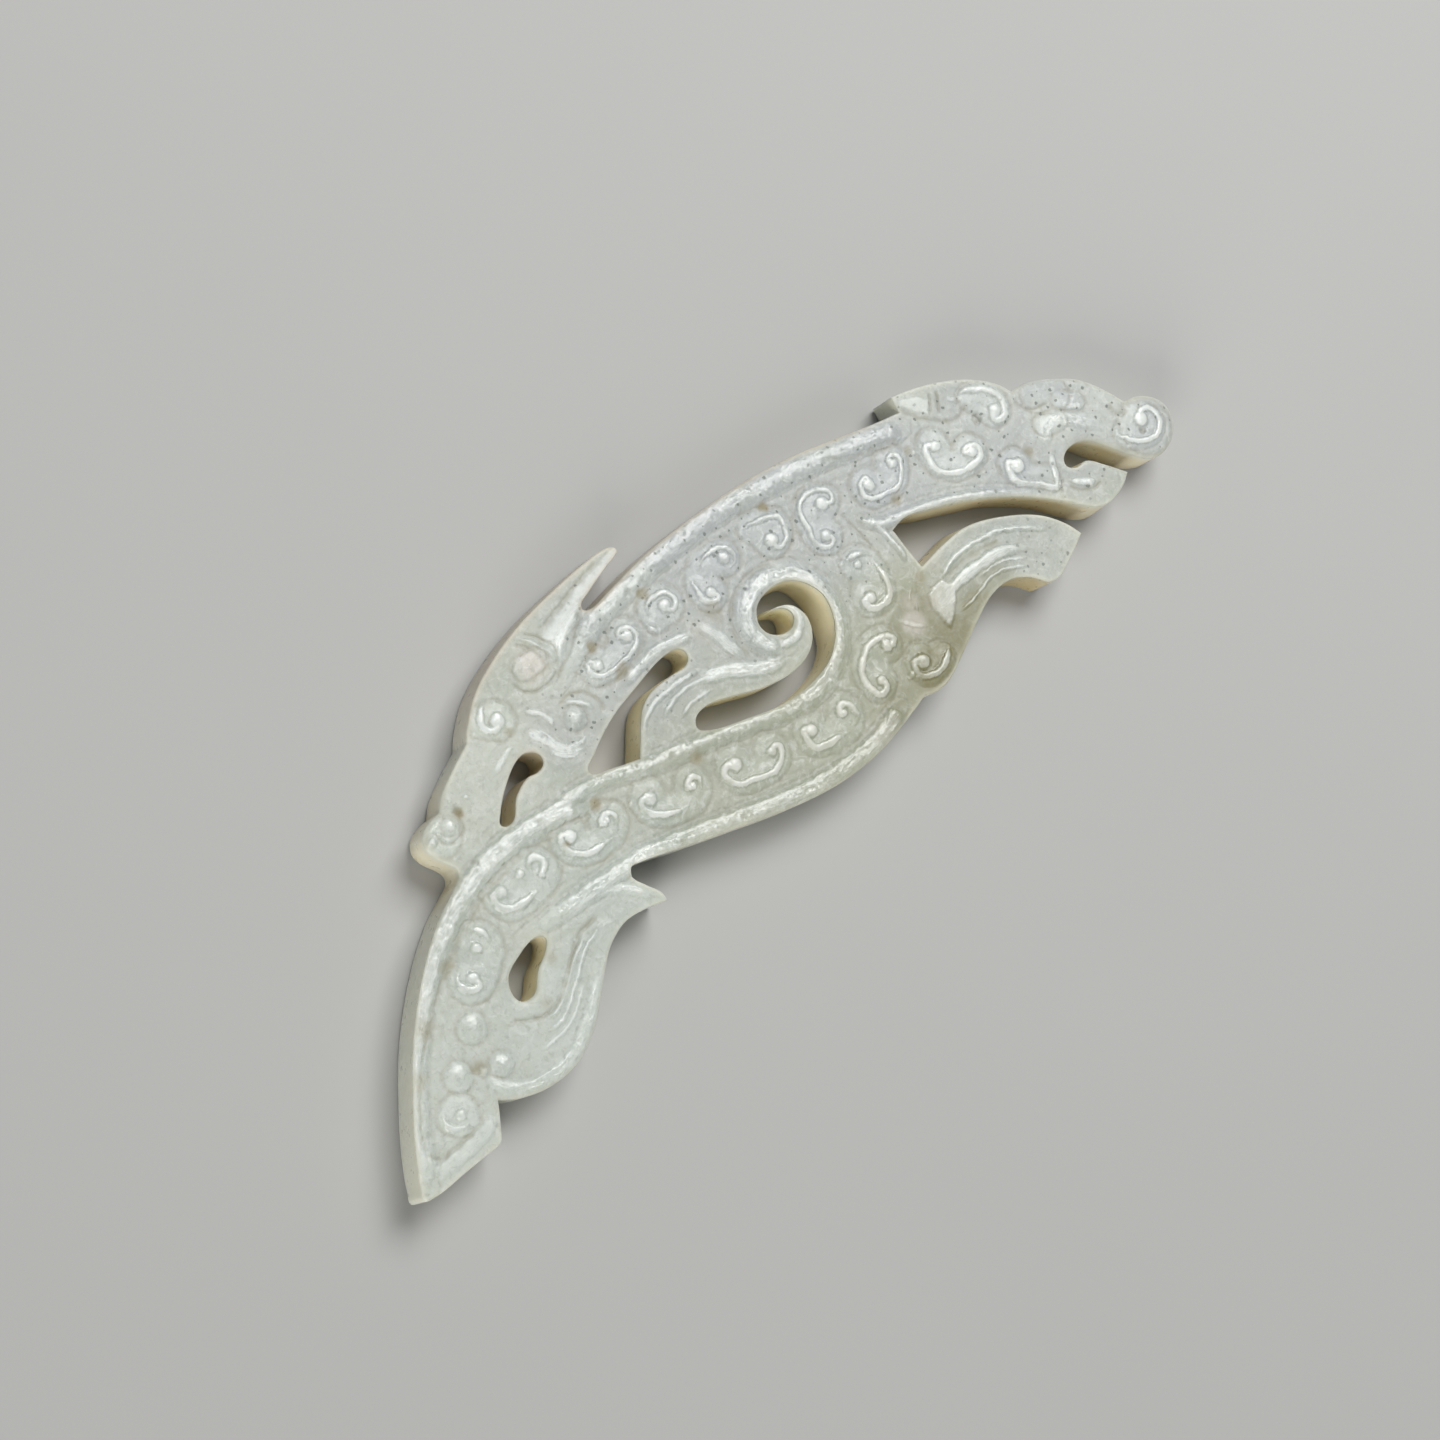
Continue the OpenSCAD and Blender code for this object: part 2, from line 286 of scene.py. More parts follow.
class Field:
    """Points in millimetres that can tell how far they lie from a carved line."""

    def __init__(self, points: Numbers) -> None:
        """Sort the points along X so that each line only visits its neighbours."""
        self.points = points
        self.order = np.argsort(points[:, 0], kind="stable")
        self.placed = points[self.order]

    def measure(self, path: Numbers, reach: float) -> tuple[Numbers, Numbers, Numbers]:
        """Measure every point against a path.

        Args:
            path: The path's samples, shape (n, 2).
            reach: How far from it still matters.

        Returns:
            The distance (infinite past the reach), the length along the path at the nearest
            place, and the side, +1 to the left of the path's direction and -1 to its right.
        """
        count = len(self.points)
        best = np.full(count, np.inf)
        along = np.zeros(count)
        side = np.ones(count)
        xs = self.placed[:, 0]
        run = 0.0
        for a, b in zip(path[:-1], path[1:]):
            step = b - a
            size = float(np.hypot(*step))
            if size < TINY:
                continue
            low = np.searchsorted(xs, min(a[0], b[0]) - reach)
            high = np.searchsorted(xs, max(a[0], b[0]) + reach)
            part = self.placed[low:high]
            near = np.flatnonzero(np.abs(part[:, 1] - (a[1] + b[1]) / 2) < reach + size)
            if len(near):
                off = part[near] - a
                share = np.clip((off @ step) / (size * size), 0.0, 1.0)
                gap = off - share[:, None] * step
                d = np.hypot(gap[:, 0], gap[:, 1])
                spot = self.order[low:high][near]
                closer = (d < best[spot]) & (d < reach)
                hit = spot[closer]
                best[hit] = d[closer]
                along[hit] = run + share[closer] * size
                cross = step[0] * off[closer, 1] - step[1] * off[closer, 0]
                side[hit] = np.where(cross >= 0, 1.0, -1.0)
            run += size
        return best, along, side


# What is carved

@dataclass(frozen=True)
class Ridge:
    """A carved ridge along a crest line.

    The widths reach to the left and to the right of the line's direction. A flatness of 2
    gives a round back, more a flat one. A foot of 1 meets the ground in a crease, more in a
    hollow curve. The fade is the length over which an end sinks and, by its taper, narrows;
    a far fade, where given, is that of the last end. A blunt end keeps some of its height.
    """

    crest: Rows
    height: float
    left: float
    right: float
    flatness: float = 2.0
    fade: float = 1.2
    rough: float = 0.0
    foot: float = 1.3
    taper: float = 0.3
    # How white the crest's painted highlight is, and from which share of the height it starts
    shine: float = 1.0
    highlight_from: float = 0.75
    far_fade: float = 0.0
    blunt: float = 0.15
    longest_fades: tuple[float, float] = (0.55, 0.9)
    fibres: Noise = Noise(((1.0, 1.1, 31), (0.6, 0.5, 37)))
    fibre_thin: float = 4.0

    def rise(self, place: Field) -> tuple[Numbers, Numbers, Numbers, Numbers]:
        """Work out the ridge's height over each point.

        Args:
            place: The points.

        Returns:
            The heights, the gap from the ridge's foot, negative inside it, and the lengths
            along the crest and across it.
        """
        path = smooth_path(self.crest, LINE_STEP, False)
        length = path_length(path)
        d, along, side = place.measure(path, max(self.left, self.right) + SKIRT)
        first = min(self.fade, self.longest_fades[0] * length)
        last = min(self.far_fade or self.fade, self.longest_fades[1] * length)
        ends = ramp(along / first, -self.blunt) * ramp((length - along) / last, -self.blunt)
        width = np.where(side > 0, self.left, self.right) * (1 - self.taper * (1 - ends))
        u = np.clip(d / width, 0.0, 1.0)
        body = np.power(1 - np.power(u, self.flatness), self.foot) * self.height * ends
        across = side * np.minimum(d, FAR)
        if self.rough:
            body += body / self.height * self.rough * self.fibres.at(np.c_[along, across * self.fibre_thin])
        return body, d - width, along, across


@dataclass(frozen=True)
class Bead:
    """A low polished dome, round or stretched between two points."""

    start: tuple[float, float]
    radius: float
    height: float
    end: tuple[float, float] | None = None
    swell: float = 0.8
    flat: float = 2.0
    # How white the painted highlight on its top is
    shine: float = 0.3

    def rise(self, place: Field) -> tuple[Numbers, Numbers]:
        """Work out the dome's height over each point.

        Args:
            place: The points.

        Returns:
            The heights, and the distance from the bead's centre line.
        """
        a = np.array(self.start)
        b = np.array(self.end or (self.start[0] + STUB, self.start[1]))
        d, _, _ = place.measure(np.stack([a, b]), self.radius + SKIRT)
        u = np.clip(d / self.radius, 0.0, 1.0)
        return np.power(1 - np.power(u, self.flat), self.swell) * self.height, d


@dataclass(frozen=True)
class ScrollCut:
    """How all the scrolls are cut: their strokes, their buds and the heads of their lobes."""

    stroke_h: float = 0.2
    stroke_w: float = 0.42
    flatness: float = 2.8
    foot: float = 1.2
    taper: float = 0.75
    fade: float = 0.4
    tail: float = 2.4
    link: float = 0.45
    bud_h: float = 0.22
    bud_flat: float = 3.0
    bud_size: float = 1.14
    bud_swell: float = 1.0
    head: float = 0.35
    full_bud: float = 0.5
    neck: float = 0.5
    reach: float = 2.4

    def lobe_head(self, bud: float) -> float:
        """Give how far a lobe's head stands out round a bud of a radius."""
        return self.head * min(1.0, bud / self.full_bud)


@dataclass(frozen=True)
class Scroll:
    """A curling cloud scroll: the spine of its lobe, and the strokes and buds that stand on it."""

    spine: Rows
    strokes: Sequence[Rows]
    buds: Rows
    bold: float = 1.0

    def linked(self, line: Rows, cut: ScrollCut) -> tuple[Rows, float, float]:
        """Carry a stroke's ends on into the buds beside them.

        Args:
            line: The stroke's points.
            cut: How a scroll is cut.

        Returns:
            The longer line, and the length over which each of its ends sinks.
        """
        out, fades = list(line), [cut.tail, cut.tail]
        for x, y, r in self.buds:
            if math.hypot(line[0][0] - x, line[0][1] - y) < r + cut.link:
                out.insert(0, (x, y))
                fades[0] = cut.fade
            if math.hypot(line[-1][0] - x, line[-1][1] - y) < r + cut.link:
                out.append((x, y))
                fades[1] = cut.fade
        return out, *fades

    def rise(self, place: Field, cut: ScrollCut) -> tuple[Numbers, Numbers]:
        """Work out the scroll's height over each point.

        Args:
            place: The points.
            cut: How a scroll is cut.

        Returns:
            The heights, and the distance from the spine.
        """
        body = np.zeros(len(place.points))
        width = cut.stroke_w * self.bold
        for line in self.strokes:
            line, first, last = self.linked(line, cut)
            stroke = Ridge(line, cut.stroke_h, width, width, cut.flatness, first, foot=cut.foot,
                           taper=cut.taper, far_fade=last)
            body = np.maximum(body, stroke.rise(place)[0])
        d = np.minimum(place.measure(smooth_path(self.spine, LINE_STEP, False), cut.reach)[0], FAR)
        for x, y, r in self.buds:
            bud = Bead((x, y), r * cut.bud_size, cut.bud_h, swell=cut.bud_swell, flat=cut.bud_flat)
            body = np.maximum(body, bud.rise(place)[0])
            d = -smooth_max(-d, cut.lobe_head(r) - away(place.points, x, y), cut.neck)
        return body, d


@dataclass(frozen=True)
class Groove:
    """A wheel-cut line, which runs out at its ends."""

    line: Rows
    depth: float = 0.1
    width: float = 0.16
    fade: float = 0.6
    blunt: float = 0.1

    def share(self, place: Field) -> Numbers:
        """Give how deep each point is in the cut, from 0 to 1."""
        path = smooth_path(self.line, LINE_STEP, False)
        d, along, _ = place.measure(path, self.width * 3)
        left = path_length(path) - along
        ends = ramp(along / self.fade, -self.blunt) * ramp(left / self.fade, -self.blunt)
        return bell(d, self.width) * ends


@dataclass(frozen=True)
class Facet:
    """A flat polished cut inside a polygon, counter-clockwise, with a height at each corner."""

    corners: Rows
    soft: float = 0.18
    # How white the painted highlight on the facet is
    shine: float = 0.7

    def lay(self, points: Numbers, ground: Numbers) -> tuple[Numbers, Numbers]:
        """Lay the facet into the ground.

        Args:
            points: The points in millimetres.
            ground: The heights so far.

        Returns:
            The heights with the facet, and its share at each point.
        """
        corners = np.array(self.corners, float)
        base = np.c_[corners[:, :2], np.ones(len(corners))]
        plane = np.linalg.lstsq(base, corners[:, 2], rcond=None)[0]
        level = points @ plane[:2] + plane[2]
        inside = np.full(len(points), np.inf)
        for a, b in zip(corners[:, :2], np.roll(corners[:, :2], -1, axis=0)):
            step = unit(b - a)
            inside = np.minimum(inside, step[0] * (points[:, 1] - a[1]) - step[1] * (points[:, 0] - a[0]))
        share = ramp(inside / self.soft * 0.5 + 0.5)
        return ground + (level - ground) * share, share


@dataclass
class Silhouette:
    """The plaque's outline and its four openings, in millimetres, clockwise."""

    step: float = 0.28
    outline: Rows = field(default_factory=lambda: [
        # tail's back
        (-55, -0.3), (-54.5, 0.7), (-52.5, 3.5), (-49.7, 6.6), (-46.9, 9.4), (-43.6, 12.1), (-39.9, 14.5),
        (-36.4, 16.2), (-33.8, 17),
        # snout lobe and brow of the small head
        (-32.7, 17.4), (-32.3, 18), (-32.5, 18.9), (-33, 20.1), (-33.1, 21.3), (-32.3, 22.4),
        (-31.1, 22.7), (-29.9, 22.7, C), (-28.5, 23.7), (-26.2, 24.6), (-23.6, 25.4, C), (-22.5, 26.4),
        (-19.7, 28.1), (-16.5, 29.1), (-12, 29.8),
        # horn
        (-6.5, 29.9), (-2.5, 29.7), (-1, 29.52), (-0.1, 29.2), (0.28, 28.8), (0.25, 28.45), (-0.1, 28.3),
        (-1.5, 28.1), (-3, 27.87), (-5, 27.5), (-5.8, 27.35), (-6.2, 27.1), (-6.3, 26.85), (-6.1, 26.5),
        (-5.6, 26.3),
        # arched side and crest
        (-3.5, 26.35), (1.3, 26.45), (8, 25.9), (14.6, 24.9), (20.2, 23.5), (25, 21.8), (29.6, 20.1),
        (32.4, 19.2, C), (32.8, 20.8, C), (34.6, 20.2), (37.8, 18.7), (41, 16.5), (43, 14.2),
        (43.6, 12.9, C),
        # forehead and nose
        (45.4, 12.5), (48, 11), (50.4, 8.9), (51.8, 6.5), (52.7, 4.2, C), (54.3, 3.6), (55.7, 2.2),
        (56.1, 0.7), (55.5, -0.8), (54, -1.9), (52, -2.2), (50.5, -1.6),
        # mouth and jaw
        (49, 0.3), (47.6, 2.6), (46.2, 4.3), (44.4, 4.9), (43, 4.6), (42.6, 3.9), (43.3, 3.1),
        (44.8, 2.8), (46.3, 1), (47.6, -1, C), (45.8, -1.6), (43.4, -1.7), (42, -1), (39.8, 1.6),
        (36.4, 5), (32, 8.2), (28, 10.4), (25, 11.7), (23.3, 11.6, C),
        # fin
        (23.1, 9.4), (23, 7.2, C), (26.5, 7.2), (29.6, 6.8), (33.6, 4.8), (36.6, 2.4), (38.2, 0),
        (38.8, -1.8, C), (36, -2.7), (33.4, -3.2), (32.4, -2.8, C), (31.2, -1.1), (29.4, 0.1),
        (26.8, 0.4),
        # belly
        (23.4, -0.4), (20, -1.5), (17, -2.3), (15.3, -2.2), (14, -1.6, C), (10.6, -2), (6.6, -2.2),
        (1.6, -1.6), (-3.4, -0.1), (-9, 2.3), (-14.6, 4.8), (-19, 6.8),
        # spur and tail fin
        (-20.1, 7.1), (-20.5, 6.4), (-20, 4.9), (-19.4, 3.5), (-19.5, 2.6, C), (-21.4, 3.4), (-24, 4),
        (-26.5, 3.4), (-29.4, 1.6), (-32.6, -0.5), (-36, -1.7), (-39.2, -1.5), (-41.8, -0.5),
        (-44, 1.1, C), (-45.2, -0.3), (-46.4, -1.7, C), (-50.4, -1.2), (-54.2, -0.7)])
    spiral_slot: Rows = field(default_factory=lambda: [
        (6, 13.7), (6.2, 14.7), (7.2, 15.7), (8.8, 16), (10.6, 15.7), (12.1, 14.5), (12.9, 12.5),
        (12.5, 10.4), (11, 8.5), (8.8, 7.3), (5.6, 7), (2.4, 7.5), (-1.5, 9), (-5, 10.7), (-5.8, 11.6),
        (-5.2, 12.4), (-3.6, 12.5), (-0.6, 11.2), (2.2, 9.8), (5.2, 9), (7.8, 9.1), (9.4, 10),
        (10.3, 11.6), (10.1, 13.1), (9.1, 14.1), (8.1, 14.5, C), (9.1, 13.7), (9.3, 12.7), (8.5, 11.95),
        (7.3, 12.1), (6.4, 12.8)])
    leaf_gap: Rows = field(default_factory=lambda: [
        (-16.7, 15.8), (-15, 16.7), (-11.6, 17.8), (-7.6, 18.3), (-3.2, 18.5), (-1.9, 18.1), (-1.5, 17.4),
        (-2, 16.6), (-4.4, 16.8), (-6.6, 17), (-8.3, 16.6), (-9.6, 15.7), (-11, 14.4), (-12.1, 13.4, C),
        (-15, 14.7)])
    jaw_gap: Rows = field(default_factory=lambda: [
        (-26.4, 18), (-25.6, 18.9), (-23.4, 20.3), (-21, 21.2), (-20, 21.1), (-19.1, 20.1), (-19.4, 19.3),
        (-20.4, 19.1), (-21.4, 19.4), (-23.4, 18.9), (-25.5, 17.5)])
    tear_gap: Rows = field(default_factory=lambda: [
        (-36.4, 6.6), (-35.6, 8), (-33.6, 8.7), (-31.2, 8.8), (-30.5, 8.2), (-31.2, 7.4), (-33, 6.6),
        (-35, 5.3), (-36.2, 5.7)])

    def loops(self) -> list[Numbers]:
        """Sample the outline, then each opening."""
        tables = (self.outline, self.spiral_slot, self.leaf_gap, self.jaw_gap, self.tear_gap)
        return [smooth_path(rows, self.step, True) for rows in tables]


class Carving:
    """The front while it is carved: heights over the ground, and the masks."""

    def __init__(self, points: Numbers, place: Field) -> None:
        """Start from flat ground, far from every ridge."""
        self.points = points
        self.place = place
        self.z = np.zeros(len(points))
        self.gap = np.full(len(points), OPEN)
        self.near = self.gap.copy()
        # The white painted on the crests is a painted highlight
        self.painted_highlight = np.zeros(len(points))
        self.seam = np.zeros(len(points))
        self.run = np.zeros(len(points))
        self.span = np.full(len(points), 3.0)

    def follow(self, ridge: Ridge, skirt: float, highlight_paint: HighlightPaint) -> tuple[Numbers, Numbers]:
        """Measure a ridge, paint the highlight on its top, and note places along and across it where it is
        the nearest.

        Args:
            ridge: The ridge.
            skirt: How far past its foot the places are noted.
            highlight_paint: How its top is whitened with a painted highlight.

        Returns:
            The ridge's heights, and the gap from its foot.
        """
        rise, off, along, across = ridge.rise(self.place)
        closer = (off < self.near) & (off < skirt)
        for kept, new in ((self.near, off), (self.run, along), (self.span, across)):
            kept[closer] = new[closer]
        self.paint_highlight(highlight_paint.share(rise / ridge.height, ridge.highlight_from, ridge.shine))
        return rise, off

    def paint_highlight(self, share: Numbers) -> None:
        """Whiten the points with a painted highlight, up to a share of each."""
        self.painted_highlight = np.maximum(self.painted_highlight, share)


@dataclass
class Relief:
    """The carving of the front: heights over the ground between the ridges, in millimetres."""

    ground: float = 4.4
    summit: float = 4.99
    cut: ScrollCut = ScrollCut()
    lobe_h: float = 0.15
    lobe_dome: float = 0.1
    lobe_reach: float = 1.58
    lobe_edge: float = 0.5
    lobe_early: float = 0.15
    lobe_skirt: float = 0.2
    lobe_over: float = 0.1
    lobe_sink: float = 0.02
    seam: float = 0.065
    seam_w: float = 0.17
    seam_past: float = 0.4
    seam_shade: float = 0.7
    seam_wander: Noise = Noise(((0.3, 1.8, 71),), 0.7)
    # The ring cut round a bead, as a share of a seam's depth, and the line at a border's foot
    ring: float = 0.8
    ring_off: float = 0.05
    ring_w: float = 0.16
    foot: float = 0.05
    foot_off: float = 0.12
    foot_w: float = 0.14
    # Fillets, where carvings meet
    border_blend: float = 0.08
    ridge_blend: float = 0.06
    bead_blend: float = 0.05
    # How far past its foot a ridge's scratches run
    border_skirt: float = 1.0
    ridge_skirt: float = 0.5
    # Painted highlights that whiten the crests, and where the strokes have less of them
    border_highlight: HighlightPaint = HighlightPaint(over=0.3)
    ridge_highlight: HighlightPaint = HighlightPaint(0.8, 0.15)
    bead_highlight: HighlightPaint = HighlightPaint()
    stroke_highlight: HighlightPaint = HighlightPaint(over=0.5)
    bead_highlight_from: float = 0.6
    stroke_highlight_from: float = 0.3
    fading: Noise = Noise(((0.3, 2.6, 91), (0.15, 0.9, 92)), 0.94)
    least_highlight: float = 0.45
    upper_arm: Patch = Patch(((0, 1, 13, 5), (1, 0, -18, 6)))
    arm_fade: float = 0.22
    # Waviness of the ground, ragged edges of the pits, and the depth at which ground is a hollow
    waves: Noise = Noise(((0.018, 2.1, 3), (0.012, 0.9, 5), (0.005, 0.4, 7)))
    ragged: Noise = Noise(((0.3, 0.6, 13),), 1.0)
    pit_edge: float = 0.3
    dark_pit: float = 0.2
    hollow_h: float = 0.34
    # The rounded rim, and the patches where it is wider: head and snout, fin of the tail, ribbon
    rim_w: float = 0.2
    rim_h: float = 0.16
    rim_steep: float = 0.45
    rim_most: float = 0.4
    rim_round: float = 0.998
    wide_rims: Sequence[tuple[float, tuple[Patch, ...]]] = (
        (0.55, (Patch(((1, 0, 42, 2), (1, 0.5, 45.5, 1.5))), Patch(((-1, 0, 27, 2), (0, 1, 18, 1.5))))),
        (0.3, (Patch(((-1, 0, 24, 3), (0, -1, -9.5, 1.5), (1, 0, -45, 1))),)),
        (0.25, (Patch(((1, 0, 5, 1.5), (-1, 0, -10.6, 0.5), (0, 1, 8.6, 0.5), (0, -1, -14.9, 0.5))),)))
    # Crests read from the photograph's angle lie this far off, and a hand's wobble
    seen_off: tuple[float, float] = (-0.2, 0.08)
    shake: float = 0.07
    shake_x: Noise = Noise(((1.0, 0.8, 61), (0.75, 0.35, 62)))
    shake_y: Noise = Noise(((1.0, 0.8, 63), (0.75, 0.35, 64)))
    # How far from a lobe's edge, a stroke and a groove the mesh is fine, and how far inside a ridge
    fine_lobe: float = 0.6
    fine_stroke: float = 1.2
    fine_stroke_in: float = 0.4
    fine_groove: float = 0.8
    fine_ridge_in: float = 0.5
    borders: Sequence[Ridge] = field(default_factory=lambda: [
        # tail, and the side of the lower arm as far as the snout's foot
        Ridge([(-53.8, 0.4), (-52, 3.4), (-49.6, 6.4), (-46.8, 9.1), (-43.6, 11.6), (-40, 13.8),
               (-36, 15.5), (-33, 16.3), (-30, 16.7), (-27, 16.6), (-24, 16.1), (-21, 15.3),
               (-18.6, 14.2)], 0.42, 0.9, 1.5, 4.0, 2.5, 0.03, shine=0.8, highlight_from=0.72),
        # on to the neck of the spiral and round its slot
        Ridge([(-21.5, 15.7), (-18, 15.1), (-15, 14.1), (-12.5, 12.8), (-10, 11.8), (-7.5, 10.9),
               (-5, 9.9), (-3, 9.1), (-1, 8.3), (1, 7.4), (3, 6.7),
               (5, 6.4)], 0.46, 0.9, 1.2, 2.4, 1.6, 0.03, shine=0.85, highlight_from=0.8),
        Ridge([(1, 7.4), (3, 6.7), (5, 6.4), (7, 6.35), (9, 6.9), (11, 8), (12.4, 9.5), (13.1, 11.2),
               (13.2, 13), (12.7, 14.6), (11.6, 15.8), (10, 16.6), (8.2, 16.75), (6.6, 16.3),
               (5.5, 15.3), (5.2, 14.1), (5.3, 12.9), (5.9, 11.9),
               (6.9, 11.1)], 0.4, 0.9, 1.5, 2.4, 5.0, 0.055, shine=0.75, highlight_from=0.66, far_fade=2.0),
        # arched side
        Ridge([(-13.4, 23.3), (-10, 24.2), (-6.6, 25), (-3, 25.3), (1, 25.3), (5, 25), (9, 24.7),
               (13, 23.9), (17, 22.8), (21, 21.7), (25, 20.3), (28.6, 18.9),
               (31.6, 17.7)], 0.42, 1.5, 1.2, 2.3, 8.0, 0.02, shine=0.75, highlight_from=0.9, far_fade=1.6),
        # under the neck and the jaw
        Ridge([(21.6, 14.2), (23, 12.7), (25, 12), (28, 10.8), (31, 9.3), (34, 7.4), (37, 5),
               (39.6, 2.4)], 0.42, 0.9, 0.7, 2.0, shine=0.7, far_fade=11.0),
        # outside of the belly
        Ridge([(11.4, -0.7), (9, -1.1), (6.4, -1.2), (4, -0.95), (2, -0.6), (0, -0.2), (-3, 0.8),
               (-6, 2), (-9, 3.3), (-12, 4.6), (-15, 5.8), (-18, 6.9), (-20.4, 7.5), (-23, 8),
               (-26, 8.5), (-29, 9),
               (-32, 9.4)], 0.46, 1.1, 1.0, 3.4, 1.2, 0.035, shine=0.55, highlight_from=0.6, far_fade=9.0),
    ])
    scrolls: Sequence[Scroll] = field(default_factory=lambda: [
        # end of the tail, and along the lower arm
        Scroll([(-47.9, 2.9), (-47.6, 2.4)],
               [[(-48.2, 3.9), (-48.7, 3.3), (-48.8, 2.5), (-48.3, 1.8), (-47.4, 1.4)]],
               [(-47.3, 2.6, 0.5)], 0.9),
        Scroll([(-37.8, 10.8), (-38.8, 10.6), (-38.7, 9.7), (-37.5, 9.6), (-36, 10.3), (-35, 11),
                (-34.8, 12.2), (-35.4, 12.8)],
               [[(-38.4, 11.5), (-39, 11.2), (-39.3, 10.6), (-39.1, 9.9), (-38.1, 9.3)],
                [(-35.4, 13.6), (-34.7, 13), (-34.4, 12.4), (-34.4, 11.7), (-34.6, 10.9)]],
               [(-38, 10.2, 0.58), (-35.9, 11.9, 0.5)], 1.12),
        Scroll([(-30.2, 13.9), (-31, 13.3), (-30.8, 12.4), (-29.4, 12), (-27.8, 11.9), (-26.4, 12.2),
                (-26.1, 13.1), (-26.8, 13.6)],
               [[(-31.2, 14.2), (-31.6, 13.6), (-31.6, 12.9), (-31.1, 12.2), (-30.2, 11.85),
                 (-29.2, 11.7), (-27.9, 11.6)],
                [(-27.3, 13), (-27.1, 13.7), (-26.5, 14.1), (-25.9, 13.8), (-25.7, 13.2), (-26, 12.7)]],
               [(-30.7, 13.9, 0.66), (-28.1, 13.8, 0.42), (-26.6, 12.4, 0.38)], 1.08),
        Scroll([(-21.9, 13.4), (-22.8, 12.9), (-22.7, 11.9), (-21.6, 11), (-20, 10.6), (-18.6, 10.6),
                (-17.9, 11.3), (-18.4, 11.9)],
               [[(-22.7, 13.6), (-23.2, 13.2), (-23.3, 12.5), (-22.9, 11.5), (-22.2, 10.8),
                 (-21.2, 10.5), (-20.3, 10.3), (-19.3, 10)],
                [(-19.1, 11.7), (-18.6, 12.1), (-18, 12), (-17.6, 11.5), (-17.8, 11), (-18.4, 10.4)]],
               [(-22.2, 13, 0.7), (-18.5, 11.6, 0.35)]),
        Scroll([(-13.6, 10.7), (-14.5, 10.2), (-14.5, 9.2), (-13.4, 8.2), (-12, 7.6), (-10.6, 7.3),
                (-9.6, 7.8), (-9.7, 8.6)],
               [[(-14.6, 10.6), (-15.1, 10.2), (-15.1, 9.6), (-14.7, 8.9), (-14.2, 8.4), (-13.4, 7.9),
                 (-12.6, 7.5), (-11.6, 7.2)],
                [(-10.4, 8.4), (-9.9, 8.85), (-9.3, 8.7), (-9, 8.3), (-9.3, 7.8), (-9.9, 7.3)],
                [(-16, 11.4), (-15.5, 10.7)]],
               [(-14, 10.2, 0.72), (-10, 8.2, 0.35)]),
        Scroll([(-5, 7.3), (-6, 6.9), (-6.2, 5.9), (-5.2, 5), (-3.8, 4.5), (-2.4, 4.2), (-1.4, 4.7),
                (-1.6, 5.4)],
               [[(-6.1, 7.3), (-6.7, 7.1), (-7, 6.6), (-6.9, 6), (-6.5, 5.3), (-5.8, 4.85), (-4.9, 4.55),
                 (-4.1, 4.1), (-3.3, 3.75), (-2.5, 3.7), (-1.7, 3.95), (-1.1, 4.5), (-0.8, 5.1),
                 (-1.2, 5.4)]],
               [(-5.4, 6.8, 0.72), (-1.8, 5.2, 0.5)]),
        Scroll([(3.3, 4.3), (2.4, 4), (2.2, 3), (3, 2.3), (4.6, 1.9), (6.2, 1.7), (7, 2.3), (6.9, 3.1)],
               [[(2.1, 4.4), (1.8, 3.8), (1.7, 3.1), (1.75, 2.5), (2.2, 2.1), (3, 1.85), (4, 1.7),
                 (5.4, 1.2)],
                [(6.1, 2.9), (6.4, 3.45), (7, 3.45), (7.45, 2.95), (7.5, 2.2), (7.2, 1.6), (6.3, 1.3)]],
               [(2.7, 3.9, 0.65), (6.4, 2.8, 0.35)], 1.15),
        Scroll([(11.9, 2.5), (11, 2), (10.8, 3), (11.1, 4.1), (12.2, 4.9), (13.6, 5.1), (14.8, 4.6)],
               [[(11.7, 1.7), (11.1, 1.35), (10.5, 1.6), (10.2, 2.4), (10.25, 3.3), (10.6, 4.2),
                 (11.3, 4.8), (12.2, 5.3), (13.2, 5.6), (14.3, 5.4), (15.1, 5.1), (15.6, 4.5),
                 (15.2, 4)]],
               [(11.6, 2.4, 0.52), (14.6, 4.35, 0.62)], 1.1),
        Scroll([(16.6, 8.6), (17.2, 8), (18.2, 8.1), (18.8, 9.2), (19, 10.4), (18.9, 11.4), (18.2, 11.9)],
               [[(15.9, 8.7), (15.9, 8.1), (16.3, 7.6), (17.1, 7.3), (18, 7.3), (18.7, 7.65),
                 (19.1, 8.4), (19.4, 9.3), (19.5, 10.2), (19.6, 11)],
                [(17.1, 12.1), (17.6, 12.6), (18.4, 12.6), (19.2, 12.2), (19.7, 11.4)],
                [(16.8, 13.2), (16.8, 12.2)]],
               [(16.6, 8.6, 0.6), (18, 11.7, 0.45)], 1.15),
        Scroll([(16.6, 1), (15.8, 0.6), (16, -0.2), (17, -0.5), (18.4, -0.2)],
               [[(15.8, 1.35), (15.2, 0.9), (15.1, 0.2), (15.5, -0.4), (16.2, -0.85), (17.2, -1),
                 (18.2, -0.8), (19, -0.4), (19.9, 0.2)],
                [(13.8, 0.3), (14.5, 1)], [(14.2, 0.3), (14.9, 1.1)]],
               [(16.3, 0.75, 0.74)], 1.1),
        # on the neck and along the upper arm
        Scroll([(33, 14.6), (32.2, 14), (32.1, 12.9), (33, 11.8), (34.4, 11.2), (35.8, 11.3)],
               [[(32.2, 15), (31.7, 14.6), (31.5, 13.9), (31.3, 13.1), (31.5, 12.3), (32.1, 11.6),
                 (32.9, 11.05), (33.8, 10.7), (34.8, 10.5), (35.7, 10.5), (36.4, 10.9), (36.4, 11.6),
                 (35.9, 12), (35, 12)],
